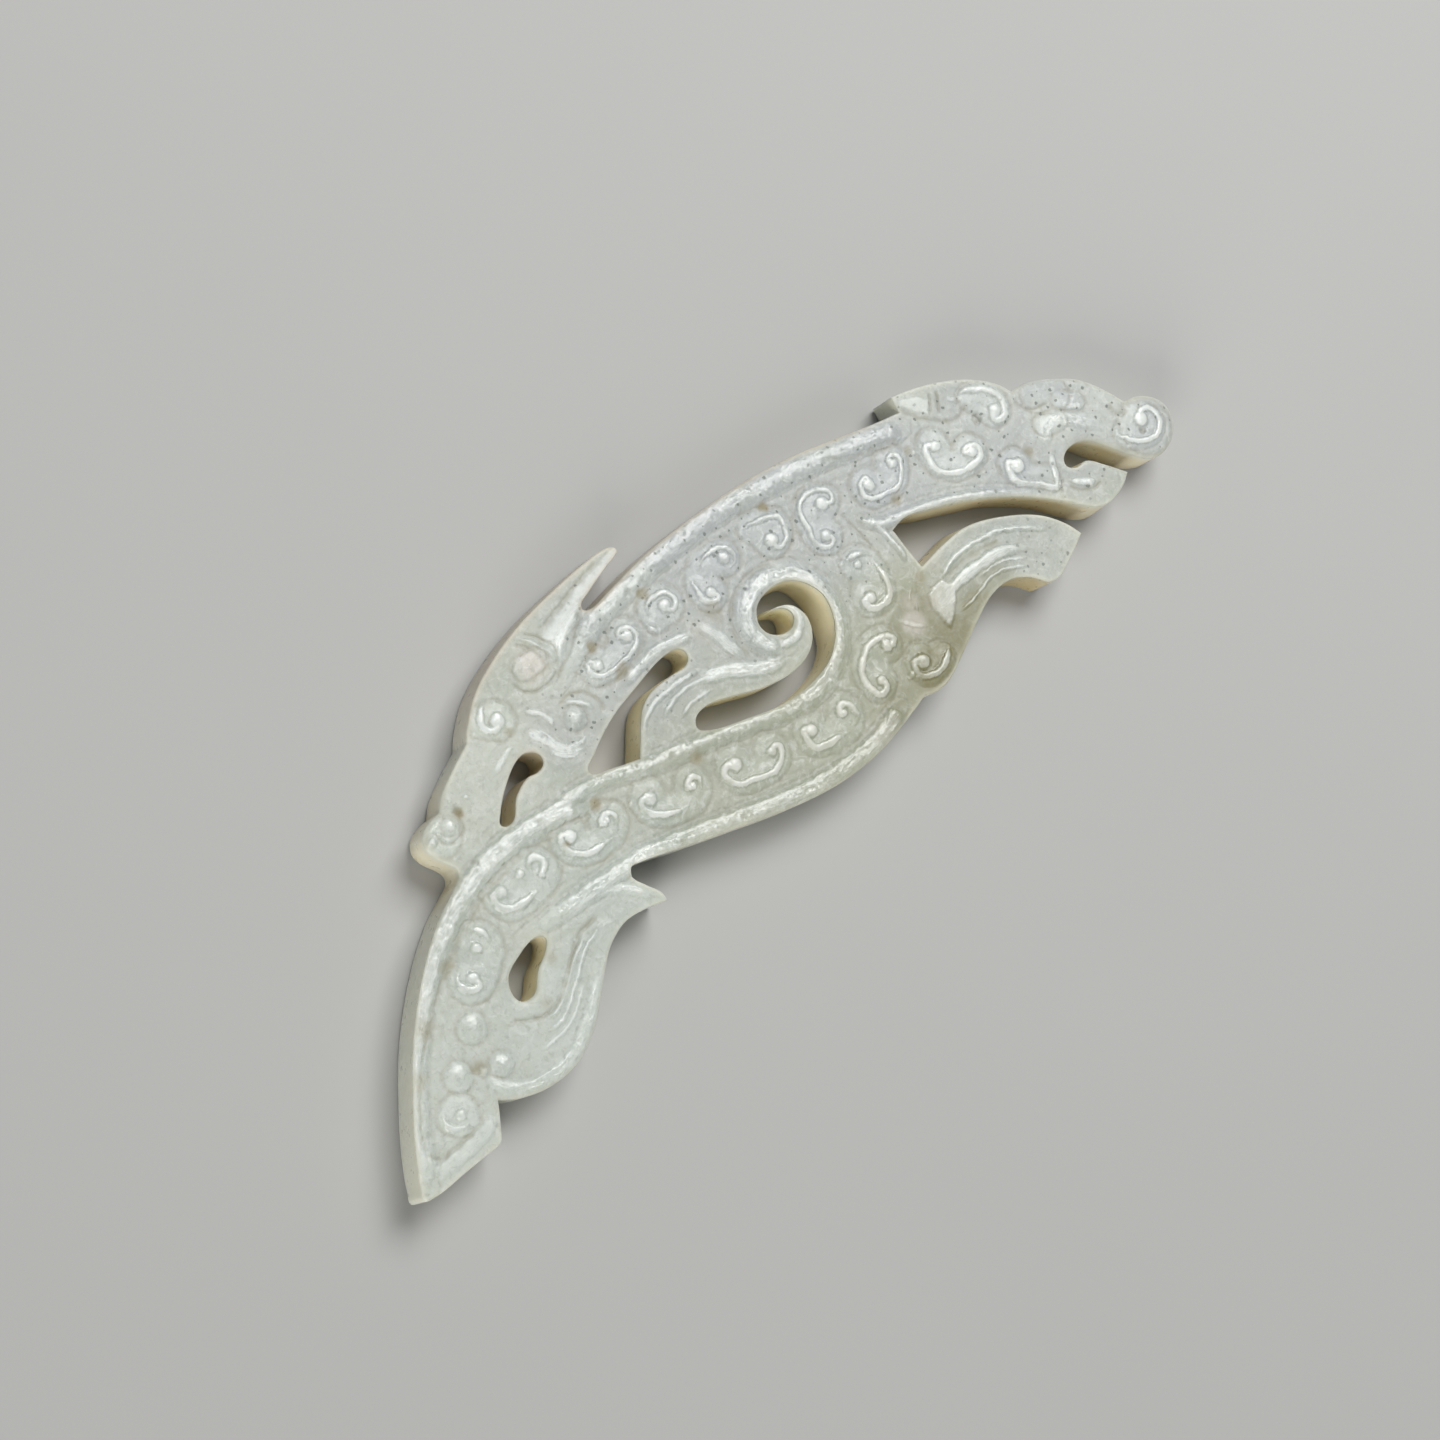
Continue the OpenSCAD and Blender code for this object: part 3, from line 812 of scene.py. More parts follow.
                [(30.4, 15.6), (31, 15.2), (31.2, 14.8)]],
               [(32.9, 14.4, 0.6), (35.6, 11.5, 0.62)], 1.1),
        Scroll([(24.6, 16.4), (24.2, 15.7), (25.2, 15.1), (26.6, 14.9), (27.8, 15.3), (28.4, 16)],
               [[(24.9, 16.9), (24.2, 17), (23.7, 16.5), (23.5, 15.9), (23.7, 15.3), (24.5, 14.85),
                 (25.4, 14.6), (26.3, 14.3), (27.2, 14.3), (28, 14.8), (28.8, 15.6), (29.1, 16.3),
                 (28.6, 16.8), (27.9, 16.6)]],
               [(24.6, 16.3, 0.64), (28.1, 16.2, 0.54)], 0.84),
        Scroll([(17.5, 15.4), (17, 15.8), (17, 16.8), (17.5, 18), (18.4, 18.8), (19.4, 18.8),
                (20.2, 18.3)],
               [[(17.9, 15.1), (17.3, 14.75), (16.7, 15), (16.3, 15.8), (16.3, 16.5), (16.65, 17.3),
                 (16.8, 18), (17.1, 18.9), (17.7, 19.6), (18.6, 19.85), (19.6, 19.7), (20.4, 19.3),
                 (20.9, 18.7), (20.9, 18.1), (20.3, 17.7)]],
               [(17.6, 15.8, 0.62), (19.5, 18.2, 0.7)], 0.84),
        Scroll([(12.2, 21.2), (13.4, 20.8), (14.3, 20.2), (14.3, 19.4), (13.6, 18.9)],
               [[(11.3, 21.8), (12.4, 21.5), (13.4, 21.2), (14.3, 20.9), (15, 20.4), (15.15, 19.8),
                 (14.9, 19.1), (14.5, 18.5), (13.9, 18.1), (13, 18.1)]],
               [(12.9, 19.1, 0.7)], 0.84),
        Scroll([(4.6, 19.5), (4.2, 20.2), (4.6, 21.2), (5.8, 21.8), (7.2, 21.8), (8.2, 21.2)],
               [[(3.9, 22), (3.7, 21), (3.5, 20), (3.6, 19.3), (4, 18.9), (4.8, 18.8)],
                [(5.4, 22.1), (6.4, 22.4), (7.6, 22.3), (8.4, 22), (8.9, 21.4), (9, 20.7), (8.6, 20.1),
                 (7.8, 20)]],
               [(4.5, 19.6, 0.6), (7.9, 21.1, 0.62)], 0.84),
        Scroll([(-1.4, 21.5), (-1, 22.4), (0, 22.6), (0.8, 22), (0.5, 21.4)],
               [[(-1.7, 22.1), (-1.2, 22.9), (-0.3, 23.1), (0.6, 22.9), (1.2, 22.4), (1.4, 21.8),
                 (1.1, 21.2), (0.3, 21)],
                [(-2.5, 21.7), (-2.3, 20.9), (-1.6, 20.2)]],
               [(0.1, 21.8, 0.65)], 0.84),
        Scroll([(-9, 22.4), (-9.1, 21.7), (-8, 21.5), (-6.6, 21.4), (-5.2, 21.5), (-4.6, 22.2)],
               [[(-9.3, 22.9), (-9.9, 22.4), (-9.8, 21.7), (-9.3, 21.2), (-8.4, 20.9), (-7, 20.8),
                 (-5.4, 20.85), (-4.4, 21.2), (-3.9, 21.8), (-4, 22.5), (-4.6, 23), (-5.4, 22.9)]],
               [(-9, 22.2, 0.62), (-4.8, 22.2, 0.6)], 0.84),
        # curl of the small head, and the ear, cheek and nose of the large one
        Scroll([(-20.9, 25.8), (-20.4, 25.3)],
               [[(-19, 26.9), (-19.9, 26.8), (-20.7, 26.3), (-21.2, 25.6), (-21.1, 24.9), (-20.5, 24.4)]],
               [(-19.8, 24.95, 0.75)]),
        Scroll([(39.6, 15.2), (41, 14.6), (41.4, 13.4), (41.1, 12.8)],
               [[(38.4, 16.6), (39.4, 16.25), (40.3, 15.8), (41, 15.3), (41.6, 14.7), (42, 13.9),
                 (42.1, 13.1), (41.8, 12.3), (41.2, 11.7), (40.5, 11.7), (40, 12.2)]],
                 [(40.7, 12.8, 0.72)], 1.2),
        Scroll([(38.3, 7.3), (38.2, 6.2), (39.2, 5), (40.2, 4.2)],
               [[(38, 8.1), (37.3, 7.4), (37.2, 6.5), (37.7, 5.6), (38.6, 4.7), (39.4, 3.9), (40.3, 3.1),
                 (41, 3.9), (41.6, 4.8), (42.2, 5.6), (42.9, 6.5)]], [(38.4, 7.4, 0.8)], 1.2),
        Scroll([(50.4, 1.6), (51.4, 0.7), (52.6, 0.3), (53.6, 0.8), (53.4, 1.6)],
               [[(49.4, 3), (49.7, 1.8), (50.5, 0.7), (51.5, -0.1), (52.6, -0.45), (53.7, -0.2),
                 (54.4, 0.5), (54.5, 1.4), (54, 2.2), (53.2, 2.4)]], [(52.7, 1.8, 0.8)], 0.95),
    ])
    ridges: Sequence[Ridge] = field(default_factory=lambda: [
        # fin
        Ridge([(23, 4.9), (24.6, 5.2), (26, 5.45), (27.6, 5.4), (29.4, 5.05), (31, 4.6), (32.6, 3.9),
               (34, 2.9), (35.2, 1.9), (36.4, 0.7)], 0.28, 0.6, 0.4, 1.7, 2.0, highlight_from=0.8),
        Ridge([(22, 3.5), (24, 3.7), (26, 3.6), (28, 3.35), (30, 2.95), (31.4, 2.35), (32.6, 1.6),
               (33.6, 0.9),
               (34.6, 0)], 0.36, 0.7, 0.9, 3.0, 1.0, taper=0.7, highlight_from=0.55, far_fade=7.0),
        Ridge([(22.8, 1.5), (24.5, 1.4), (26.5, 1.6), (28, 1.6), (29.6, 1.3), (30.8, 0.7),
               (32.2, -0.4)], 0.22, 0.35, 0.35, 1.7, 1.5),
        Ridge([(26.6, 2.3), (28.4, 2.4), (30, 2), (31.4, 1.2), (32.8, 0)], 0.14, 0.3, 0.3, 1.8, 1.5),
        # ribbon and its coil
        Ridge([(-10, 13.9), (-9.7, 14.8), (-9, 15.5), (-8.2, 15.9), (-6.6, 16.1), (-4.6, 15.9),
               (-2.6, 15.6), (-0.8, 15)], 0.22, 0.5, 0.5, 2.0, 3.0, taper=0.6),
        Ridge([(-7.9, 14), (-6.8, 14.7), (-5.2, 15), (-3.6, 14.9), (-1.8, 14.4),
               (0, 13.6)], 0.2, 0.4, 0.4, 2.0, 2.0, taper=0.6),
        Ridge([(-3, 14.9), (-1, 14), (0.6, 13.2), (2, 12.2), (3.4, 11.2), (4.8, 10.5),
               (6.4, 10.1)], 0.32, 1.0, 0.9, 2.6, 3.0, 0.03, taper=0.6, shine=0.9, highlight_from=0.5),
        Ridge([(-6.6, 13.1), (-5, 13.6), (-3.2, 13.5), (-1.6, 13)], 0.18, 0.4, 0.4, 2.0, 1.6, taper=0.6),
        Ridge([(8.8, 14.6), (9.5, 14), (9.8, 13.1), (9.6, 12.1), (8.9, 11.4), (7.8, 11.1), (6.6, 11.5),
               (5.8, 12.3)], 0.3, 0.7, 0.6, 2.2, 1.8, 0.03, shine=0.9, highlight_from=0.55),
        # web between the ribbon and the upper arm
        Ridge([(1.3, 19), (1.9, 17.4), (2.3, 15.8), (2.6, 14.2),
               (3, 12.9)], 0.2, 0.7, 1.0, 2.6, 2.0, 0.04, shine=0.8, highlight_from=0.6),
        Ridge([(-8.5, 19.3), (-5.6, 19.45), (-3.2, 19.3), (-1.6, 18.8), (-0.2, 18.2),
               (0.6, 17.6)], 0.3, 0.7, 0.8, 2.6, 1.8, 0.02, shine=0.8, highlight_from=0.65),
        # tail fin
        Ridge([(-43.3, 3.6), (-43, 2.6), (-42.5, 1.5), (-41.6, 0.5), (-40.2, -0.3), (-38.2, -0.8),
               (-36, -0.8), (-34, -0.2), (-32, 0.7), (-30, 1.9),
               (-28, 3.2)], 0.28, 0.7, 0.9, 2.6, 2.0, 0.03, shine=0.5, far_fade=5.0),
        Ridge([(-36.4, 2.2), (-34.6, 2), (-32.8, 2.6), (-31, 3.5), (-29.4, 4.4), (-27.6, 5.1),
               (-25.8, 5.2)], 0.26, 0.4, 0.4, 1.8, 1.8),
        Ridge([(-35.8, 3.1), (-34.4, 2.9), (-32.6, 3.5), (-30.8, 4.5), (-29, 5.3),
               (-27.4, 5.7)], 0.24, 0.35, 0.4, 1.8, 1.5),
        Ridge([(-38.2, 1.5), (-36.4, 1.2), (-34.6, 1.2), (-32.6, 1.8),
               (-30.6, 2.9)], 0.18, 0.35, 0.35, 1.8, 1.5),
        Ridge([(-28, 8.1), (-25.4, 8), (-23.2, 7.4), (-21.6, 6.2), (-20.6, 4.8),
               (-20, 3.6)], 0.26, 0.5, 0.9, 2.2, 2.0, 0.03),
        # lip of the large head, its brow, and the bands beside the small head's eye
        Ridge([(42.4, 6.4), (43.3, 7.5), (44.7, 7.8), (46.1, 7.1), (47.5, 5.8), (48.5, 4.4),
               (49.2, 2.9)], 0.26, 1.2, 0.9, 2.4, 1.5, 0.03, taper=0.6, shine=0.6, highlight_from=0.6,
               far_fade=4.0),
        Ridge([(46.7, 8.6), (47.4, 8), (48.1, 7.4),
               (48.7, 6.9)], 0.16, 0.4, 0.4, 2.4, 0.8, 0.02, taper=0.5, highlight_from=0.45),
        Ridge([(41.8, 2.8), (42.6, 1.9), (43.4, 1.2),
               (44.4, 0.6)], 0.28, 0.55, 0.5, 2.2, 1.2, 0.03, taper=0.9, highlight_from=0.45),
        Ridge([(37.2, 17), (38.2, 16.3),
               (39.3, 15.5)], 0.16, 0.5, 0.5, 2.0, 1.2, 0.03, shine=0.7, highlight_from=0.5),
        Ridge([(-13, 29), (-12.2, 28), (-11.8, 27), (-11.5, 26),
               (-11.7, 25)], 0.2, 0.28, 0.28, 1.8, shine=0.8),
        Ridge([(-17.3, 24), (-16.7, 23.3), (-16.1, 22.6), (-15.9, 21.8),
               (-16.1, 20.9)], 0.22, 0.4, 0.45, 2.0, 0.9, 0.04, taper=0.6, shine=1.0, highlight_from=0.5),
        Ridge([(-18.4, 23), (-18, 21.8), (-17.6, 20.7), (-17.4, 19.6), (-16.9, 18.7), (-15.8, 18.2),
               (-14.4, 18.1),
               (-12.8, 18.7)], 0.18, 1.1, 1.1, 1.8, 2.0, 0.09, foot=1.6, taper=0.7, shine=1.15,
               highlight_from=0.45, far_fade=5.0),
        # strokes beside the curl and the grain of the small head, and round its snout
        Ridge([(-31.6, 20.9), (-31.3, 20.1), (-30.5, 19.5), (-29.5, 19.3),
               (-28.8, 19.7)], 0.12, 0.3, 0.3, 2.2, 1.0, shine=0.7),
        Ridge([(-22.5, 26.1), (-22.3, 25.4), (-21.9, 24.8)], 0.2, 0.35, 0.35, 2.4, 1.0, taper=0.7),
        Ridge([(-14.1, 21.9), (-13.3, 21.5), (-12.6, 20.9), (-12.1, 20),
               (-12.2, 19.3)], 0.22, 0.4, 0.4, 2.4, 1.2, taper=0.7),
        Ridge([(-27.2, 22.4), (-26.7, 21.6)], 0.2, 0.28, 0.28, 2.4, 0.5),
        Ridge([(-28.6, 22.9), (-27.9, 22.6)], 0.14, 0.3, 0.3, 2.4, 0.5, shine=0.6),
        Ridge([(-24.2, 21.4), (-22.6, 22), (-21, 22.3),
               (-19.4, 22.2)], 0.2, 0.45, 0.6, 2.0, 2.4, 0.05, taper=0.6, shine=0.95, highlight_from=0.6),
        # wear on the tail fin and the spur
        Ridge([(-26.4, 5.2), (-25.4, 5.3),
               (-24.4, 4.8)], 0.1, 0.6, 0.5, 2.6, 0.8, 0.05, shine=0.7, highlight_from=0.5),
        Ridge([(-38.6, 4.2), (-38, 3.5), (-37.8, 2.9)], 0.1, 0.3, 0.3, 2.4, 0.8, shine=0.5),
        Ridge([(-36.4, 0.1), (-35, 0.1), (-33.6, 0.6)], 0.08, 0.4, 0.4, 2.4, 1.5, 0.03, shine=0.5),
        # bottom of the tail
        Ridge([(-53, 0.6), (-51.6, 0.3), (-49.6, 0.1), (-47.6, 0), (-46, 0.2),
               (-45.4, 1)], 0.2, 0.8, 0.8, 4.0, shine=0.5),
        # wedge and small strokes on the shoulder
        Ridge([(17.2, 5.2), (17.8, 4.4), (18.5, 3.5),
               (19.4, 2.6)], 0.2, 0.5, 0.35, 2.2, 1.4, 0.03, taper=0.9, highlight_from=0.5),
        Ridge([(19.5, 4.3), (19.8, 4.8), (20.2, 5.3)], 0.22, 0.22, 0.22, 1.8, 0.6),
        Ridge([(19.4, 5.4), (20, 6.1), (20.8, 6.5)], 0.16, 0.25, 0.25, 1.8, 0.8),
        Ridge([(21.2, 15), (21.8, 14.2), (22.4, 13), (22.6, 11.4), (22.5, 9.6),
               (22.3, 8.4)], 0.28, 0.45, 0.5, 2.0),
    ])
    beads: Sequence[Bead] = field(default_factory=lambda: [
        # round grains of the tail
        Bead((-41.1, 7.2), 1.55, 0.42), Bead((-45.1, 5), 1.45, 0.38), Bead((-41.4, 3.1), 1.25, 0.42),
        Bead((-43.1, 3.8), 0.5, 0.26),
        # snout and eye of the small head
        Bead((-31.2, 21), 1.9, 0.26, swell=0.6, flat=3.0, shine=0.0),
        Bead((-29.9, 21.1), 0.95, 0.36, shine=0.8), Bead((-32.1, 21.3), 0.55, 0.42, shine=1.3),
        Bead((-14.5, 26.6), 1.2, 0.2, (-13.1, 26.4), flat=5.0, shine=0.0),
        Bead((-14, 20.1), 1.2, 0.34, shine=0.35),
        # eye, brow and forehead of the large head, and the leaf on its jaw
        Bead((47.1, 8.8), 1.05, 0.22, (48.5, 7.6), flat=3.0, shine=0.0),
        Bead((43.9, 8.2), 1.2, 0.24, (45.3, 7.7), shine=0.8),
        Bead((52.7, 0.9), 3, 0.2, swell=0.6, shine=0.0), Bead((45.8, 10.8), 2, 0.12, (47, 10), shine=0.0),
    ])
    grooves: Sequence[Groove] = field(default_factory=lambda: [
        Groove([(-47, 0.9), (-49.6, 0.9), (-51.4, 1.3), (-51.8, 2.4), (-50.4, 4.7), (-46.9, 8),
                (-44.4, 9.7), (-41.9, 11.2), (-39, 12.5), (-35.8, 13.6), (-33, 14.3), (-29.6, 14.8),
                (-26, 14.6), (-23, 13.9)], 0.07, 0.22),
        Groove([(-14.4, 22.1), (-12.7, 22), (-11.4, 21), (-11.1, 19.6), (-11.5, 18.6)], 0.05, 0.22),
        Groove([(-10.8, 21), (-9.5, 20.35), (-7, 20.1), (-5, 20.3), (-3.5, 21.2), (-3.3, 22.6)], 0.07),
        Groove([(22.8, 21), (25, 19.5), (28, 18.4), (30.4, 17.4)], 0.06, 0.2),
        Groove([(-31.5, 21.1), (-31.3, 20.2), (-30.2, 19.8), (-29.1, 20.1), (-28.6, 21.1)]),
        Groove([(-16.2, 26.4), (-15.9, 25.1), (-14.8, 24.3), (-13.2, 24.1), (-12, 24.5)], 0.12),
        Groove([(-12.2, 28.9), (-11.2, 27.6), (-10.9, 26.3), (-11.2, 25.2)], 0.08),
        Groove([(-13.6, 28.8), (-12.8, 27.8), (-12.4, 26.4), (-12.6, 25.3)], 0.08),
        Groove([(-10.8, 28.1), (-8, 28.4), (-5, 28.8), (-2, 29.1)], 0.06),
        Groove([(-13.5, 23.7), (-11.5, 24.3), (-9, 25.4), (-6.6, 26.7)], 0.1),
        Groove([(35.7, 16.2), (36.6, 17.2), (37.3, 18.2)], 0.12, 0.13),
        Groove([(35, 16.8), (35.8, 17.6), (36.5, 18.5)], 0.12, 0.13),
        Groove([(32.6, 19.2), (33.9, 17.3), (35.4, 15.6), (36.8, 14.8), (38, 14.8),
                (38.9, 15.2)], 0.1, 0.24),
        Groove([(41.4, 2.3), (42.2, 1.1), (43.4, 0.4), (44.8, 0.2)], 0.08),
        Groove([(40.2, 2.2), (41, 2.9), (41.8, 3.1)], 0.08, 0.12),
        Groove([(40, 2.7), (40.8, 3.3), (41.6, 3.5)], 0.08, 0.12),
        Groove([(43.4, 12.3), (43.2, 11.2), (44.4, 10), (46, 9.5)], 0.1, 0.2),
        Groove([(-38, 5), (-36.6, 4), (-35.4, 3.3), (-33, 3.4), (-31, 4.5), (-29, 5.6), (-27.4, 6.2),
                (-25.4, 6.2)], 0.16, 0.22),
        Groove([(24.5, 4.6), (25.6, 4.7), (27.4, 4.55), (29.4, 4.1), (31.4, 3.4)], 0.08, 0.3),
        Groove([(3.2, 12.6), (3.3, 14.6), (4.4, 16.6), (6.6, 18), (9.2, 18.2), (11.6, 17.4)], 0.07, 0.2),
        Groove([(20.3, 16.4), (20.5, 14.8), (20.6, 13.2), (20.6, 11.6)], 0.08, 0.12),
        Groove([(51.2, 5.2), (51, 4.2), (51.6, 3.4), (52.5, 3.3)], 0.08, 0.25),
    ])
    facets: Sequence[Facet] = field(default_factory=lambda: [
        # wide end of the fin, lower side of the horn, and the crest
        Facet([(21.1, 1.1, 0.2), (22.4, 1.8, 0.26), (23.6, 2.7, 0.32), (24.2, 3.7, 0.36),
               (23.7, 4.9, 0.38), (22.4, 5.1, 0.36), (21.4, 4.8, 0.32), (20.9, 3.6, 0.28)], shine=0.8),
        Facet([(-11.3, 24.9, 0.43), (-4.8, 27.8, 0.12), (-4.8, 28.6, 0.03),
               (-11.2, 27.6, 0.1)], 0.4, shine=0.85),
        Facet([(-5.6, 27.0, 0.17), (0.5, 28.2, 0.06), (0.4, 28.95, 0.01),
               (-5.4, 28.55, 0.03)], 0.3, shine=0.8),
        Facet([(32.9, 19.4, 0.16), (34.9, 16.9, 0.1), (36, 18, 0.14), (35.4, 18.9, 0.2),
               (33.4, 20, 0.22)]),
    ])
    # Pits and nicks. Columns: x, y, radius, depth
    pits: Rows = ((38.6, 13.3, 0.5, 0.3), (52, 0.8, 0.3, 0.25), (-28.4, 21.5, 0.35, 0.2),
                  (-7.4, 11.2, 0.3, 0.12), (-9.6, 11.4, 0.3, 0.1), (-13, 13.4, 0.3, 0.12),
                  (-11.2, 12.6, 0.25, 0.1), (-16.4, 14.9, 0.3, 0.08), (-1.2, 8.1, 0.25, 0.08),
                  (2.6, 7, 0.25, 0.07), (-23.5, 15.6, 0.3, 0.08), (-30.6, 17.2, 0.3, 0.1),
                  (6.4, 25.4, 0.3, 0.08), (15, 23.9, 0.35, 0.1), (22.6, 20.8, 0.3, 0.08),
                  (-2, 25, 0.3, 0.1), (4.8, -1.4, 0.25, 0.08), (-8.4, 2.8, 0.25, 0.08),
                  (-14.6, 5.2, 0.3, 0.08))

    def shifted(self, points: Numbers) -> Numbers:
        """Lay points where crests read from the photograph's angle have them, with a hand's wobble."""
        wobble = np.c_[self.shake_x.at(points), self.shake_y.at(points)]
        return points - np.array(self.seen_off) + self.shake * wobble

    def closeness(self, points: Numbers) -> Numbers:
        """Tell how near each point is to fine carving, for the spacing of the mesh.

        Args:
            points: The points in millimetres.

        Returns:
            The distance to the nearest crest, seam, bead edge or groove.
        """
        place = Field(self.shifted(points))
        near = np.full(len(points), np.inf)

        def line_gap(line: Rows, reach: float) -> Numbers:
            """Measure the points against a line."""
            return place.measure(smooth_path(line, ROUGH_STEP, False), reach)[0]

        for scroll in self.scrolls:
            d = line_gap(scroll.spine, self.lobe_reach + self.fine_lobe)
            for line in scroll.strokes:
                near = np.minimum(near, line_gap(line, self.fine_stroke) - self.fine_stroke_in)
            for x, y, r in scroll.buds:
                off = away(place.points, x, y)
                near = np.minimum(near, off - r)
                d = np.minimum(d, off - self.cut.lobe_head(r))
            near = np.minimum(near, np.abs(d - self.lobe_reach))
        for ridge in (*self.borders, *self.ridges):
            gap = ridge.rise(place)[1]
            within = np.maximum(0.0, -gap - self.fine_ridge_in) * 0.5
            near = np.minimum(near, np.where(gap < 0, within, gap))
        for bead in self.beads:
            near = np.minimum(near, np.abs(bead.rise(place)[1] - bead.radius))
        for groove in self.grooves:
            near = np.minimum(near, line_gap(groove.line, self.fine_groove))
        return near

    def carve(self, points: Numbers, edge: Numbers) -> tuple[Numbers, dict[str, Numbers]]:
        """Carve the front.

        Args:
            points: The points in millimetres.
            edge: Their distance from the nearest edge.

        Returns:
            The heights over the back, and the masks: how deep in a hollow each point is, how
            much painted highlight whitens it on a crest, how near a seam, and where along and across a
            ridge.
        """
        work = Carving(points, Field(self.shifted(points)))
        for ridge in self.borders:
            rise, off = work.follow(ridge, self.border_skirt, self.border_highlight)
            work.z = np.maximum(work.z, rise)
            work.gap = np.minimum(work.gap, off)
        inside, scored = self.raise_scrolls(work)
        for ridge in self.ridges:
            rise, _ = work.follow(ridge, self.ridge_skirt, self.ridge_highlight)
            work.z = smooth_max(work.z, rise, self.ridge_blend)
        rings = self.raise_beads(work)
        seam = bell(inside, self.seam_w) * scored * self.seam_wander.at(points)
        work.seam = np.maximum(seam, rings * self.ring)
        work.z -= self.seam * seam
        work.z -= self.foot * bell(work.gap - self.foot_off, self.foot_w)
        self.cut_details(work)
        hollow = np.clip(1 - work.z / self.hollow_h, 0.0, 1.0)
        work.z += self.waves.at(points)
        rim_w, rim_h = self.rim(points)
        share = np.clip(1 - edge / rim_w, 0.0, 1.0)
        work.z -= rim_h * (1 - np.sqrt(1 - np.square(share) * self.rim_round))
        # The painted highlight is dimmed in the seams
        marks = {"hollow": hollow, "painted_highlight": work.painted_highlight * (1 - self.seam_shade * work.seam),
                 "seam": work.seam, "run": work.run, "span": work.span}
        return np.minimum(self.ground + work.z, self.summit), marks

    def raise_scrolls(self, work: Carving) -> tuple[Numbers, Numbers]:
        """Raise the lobes with their strokes and buds.

        Args:
            work: The front so far.

        Returns:
            How far inside its lobe each point is, and where a seam may be cut.
        """
        first = np.full(len(work.points), FAR)
        second = first.copy()
        crest = np.zeros(len(work.points))
        for scroll in self.scrolls:
            rise, d = scroll.rise(work.place, self.cut)
            crest = np.maximum(crest, rise)
            second = np.minimum(second, np.maximum(first, d))
            first = np.minimum(first, d)
        inside = np.minimum(self.lobe_reach - first, (second - first) / 2)
        inside = np.minimum(inside, work.gap + self.lobe_over)
        lobe = self.lobe_h * ramp(inside / self.lobe_edge, -self.lobe_early) * (inside > -self.lobe_skirt)
        lobe = lobe + self.lobe_dome * ramp(inside / self.lobe_reach) + crest
        work.z = smooth_max(work.z, lobe, self.border_blend) - self.lobe_sink
        # The strokes get a painted highlight, weaker in noisy patches and on the upper arm
        faded = np.clip(self.fading.at(work.points), self.least_highlight, 1.0)
        faded *= 1 - self.arm_fade * self.upper_arm.share(work.points)
        work.paint_highlight(self.stroke_highlight.share(crest / self.cut.stroke_h, self.stroke_highlight_from, faded))
        return inside, (first < self.lobe_reach + self.seam_past) & (work.gap > -self.lobe_skirt)

    def raise_beads(self, work: Carving) -> Numbers:
        """Raise the beads, each in its ring.

        Args:
            work: The front so far.

        Returns:
            How near the middle of a ring each point is, from 0 to 1.
        """
        rings = np.zeros(len(work.points))
        for bead in self.beads:
            rise, d = bead.rise(work.place)
            ring = bell(d - bead.radius - self.ring_off, self.ring_w)
            rings = np.maximum(rings, ring)
            work.z = smooth_max(work.z, rise, self.bead_blend) - self.seam * self.ring * ring
            # A painted highlight on the bead's top
            work.paint_highlight(self.bead_highlight.share(rise / bead.height, self.bead_highlight_from, bead.shine))
        return rings

    def cut_details(self, work: Carving) -> None:
        """Lay the facets, and cut the grooves and the pits.

        Args:
            work: The front so far.
        """
        for facet in self.facets:
            work.z, share = facet.lay(work.place.points, work.z)
            # A facet's whiteness is a painted highlight
            work.painted_highlight = work.painted_highlight * (1 - share) + facet.shine * share
        for groove in self.grooves:
            share = groove.share(work.place)
            work.z -= groove.depth * share
            work.seam = np.maximum(work.seam, share)
        ragged = self.ragged.at(work.points)
        for x, y, r, depth in self.pits:
            share = ramp((r - away(work.place.points, x, y) * ragged) / self.pit_edge + 0.5)
            work.z -= depth * share
            work.seam = np.maximum(work.seam, share * min(1.0, depth / self.dark_pit))

    def rim(self, points: Numbers) -> tuple[Numbers, Numbers]:
        """Give the width and the fall of the rounded edge at each point."""
        width = np.full(len(points), self.rim_w)
        for wider, patches in self.wide_rims:
            width += wider * np.max([patch.share(points) for patch in patches], axis=0)
        return width, np.minimum(self.rim_h + self.rim_steep * (width - self.rim_w), self.rim_most)


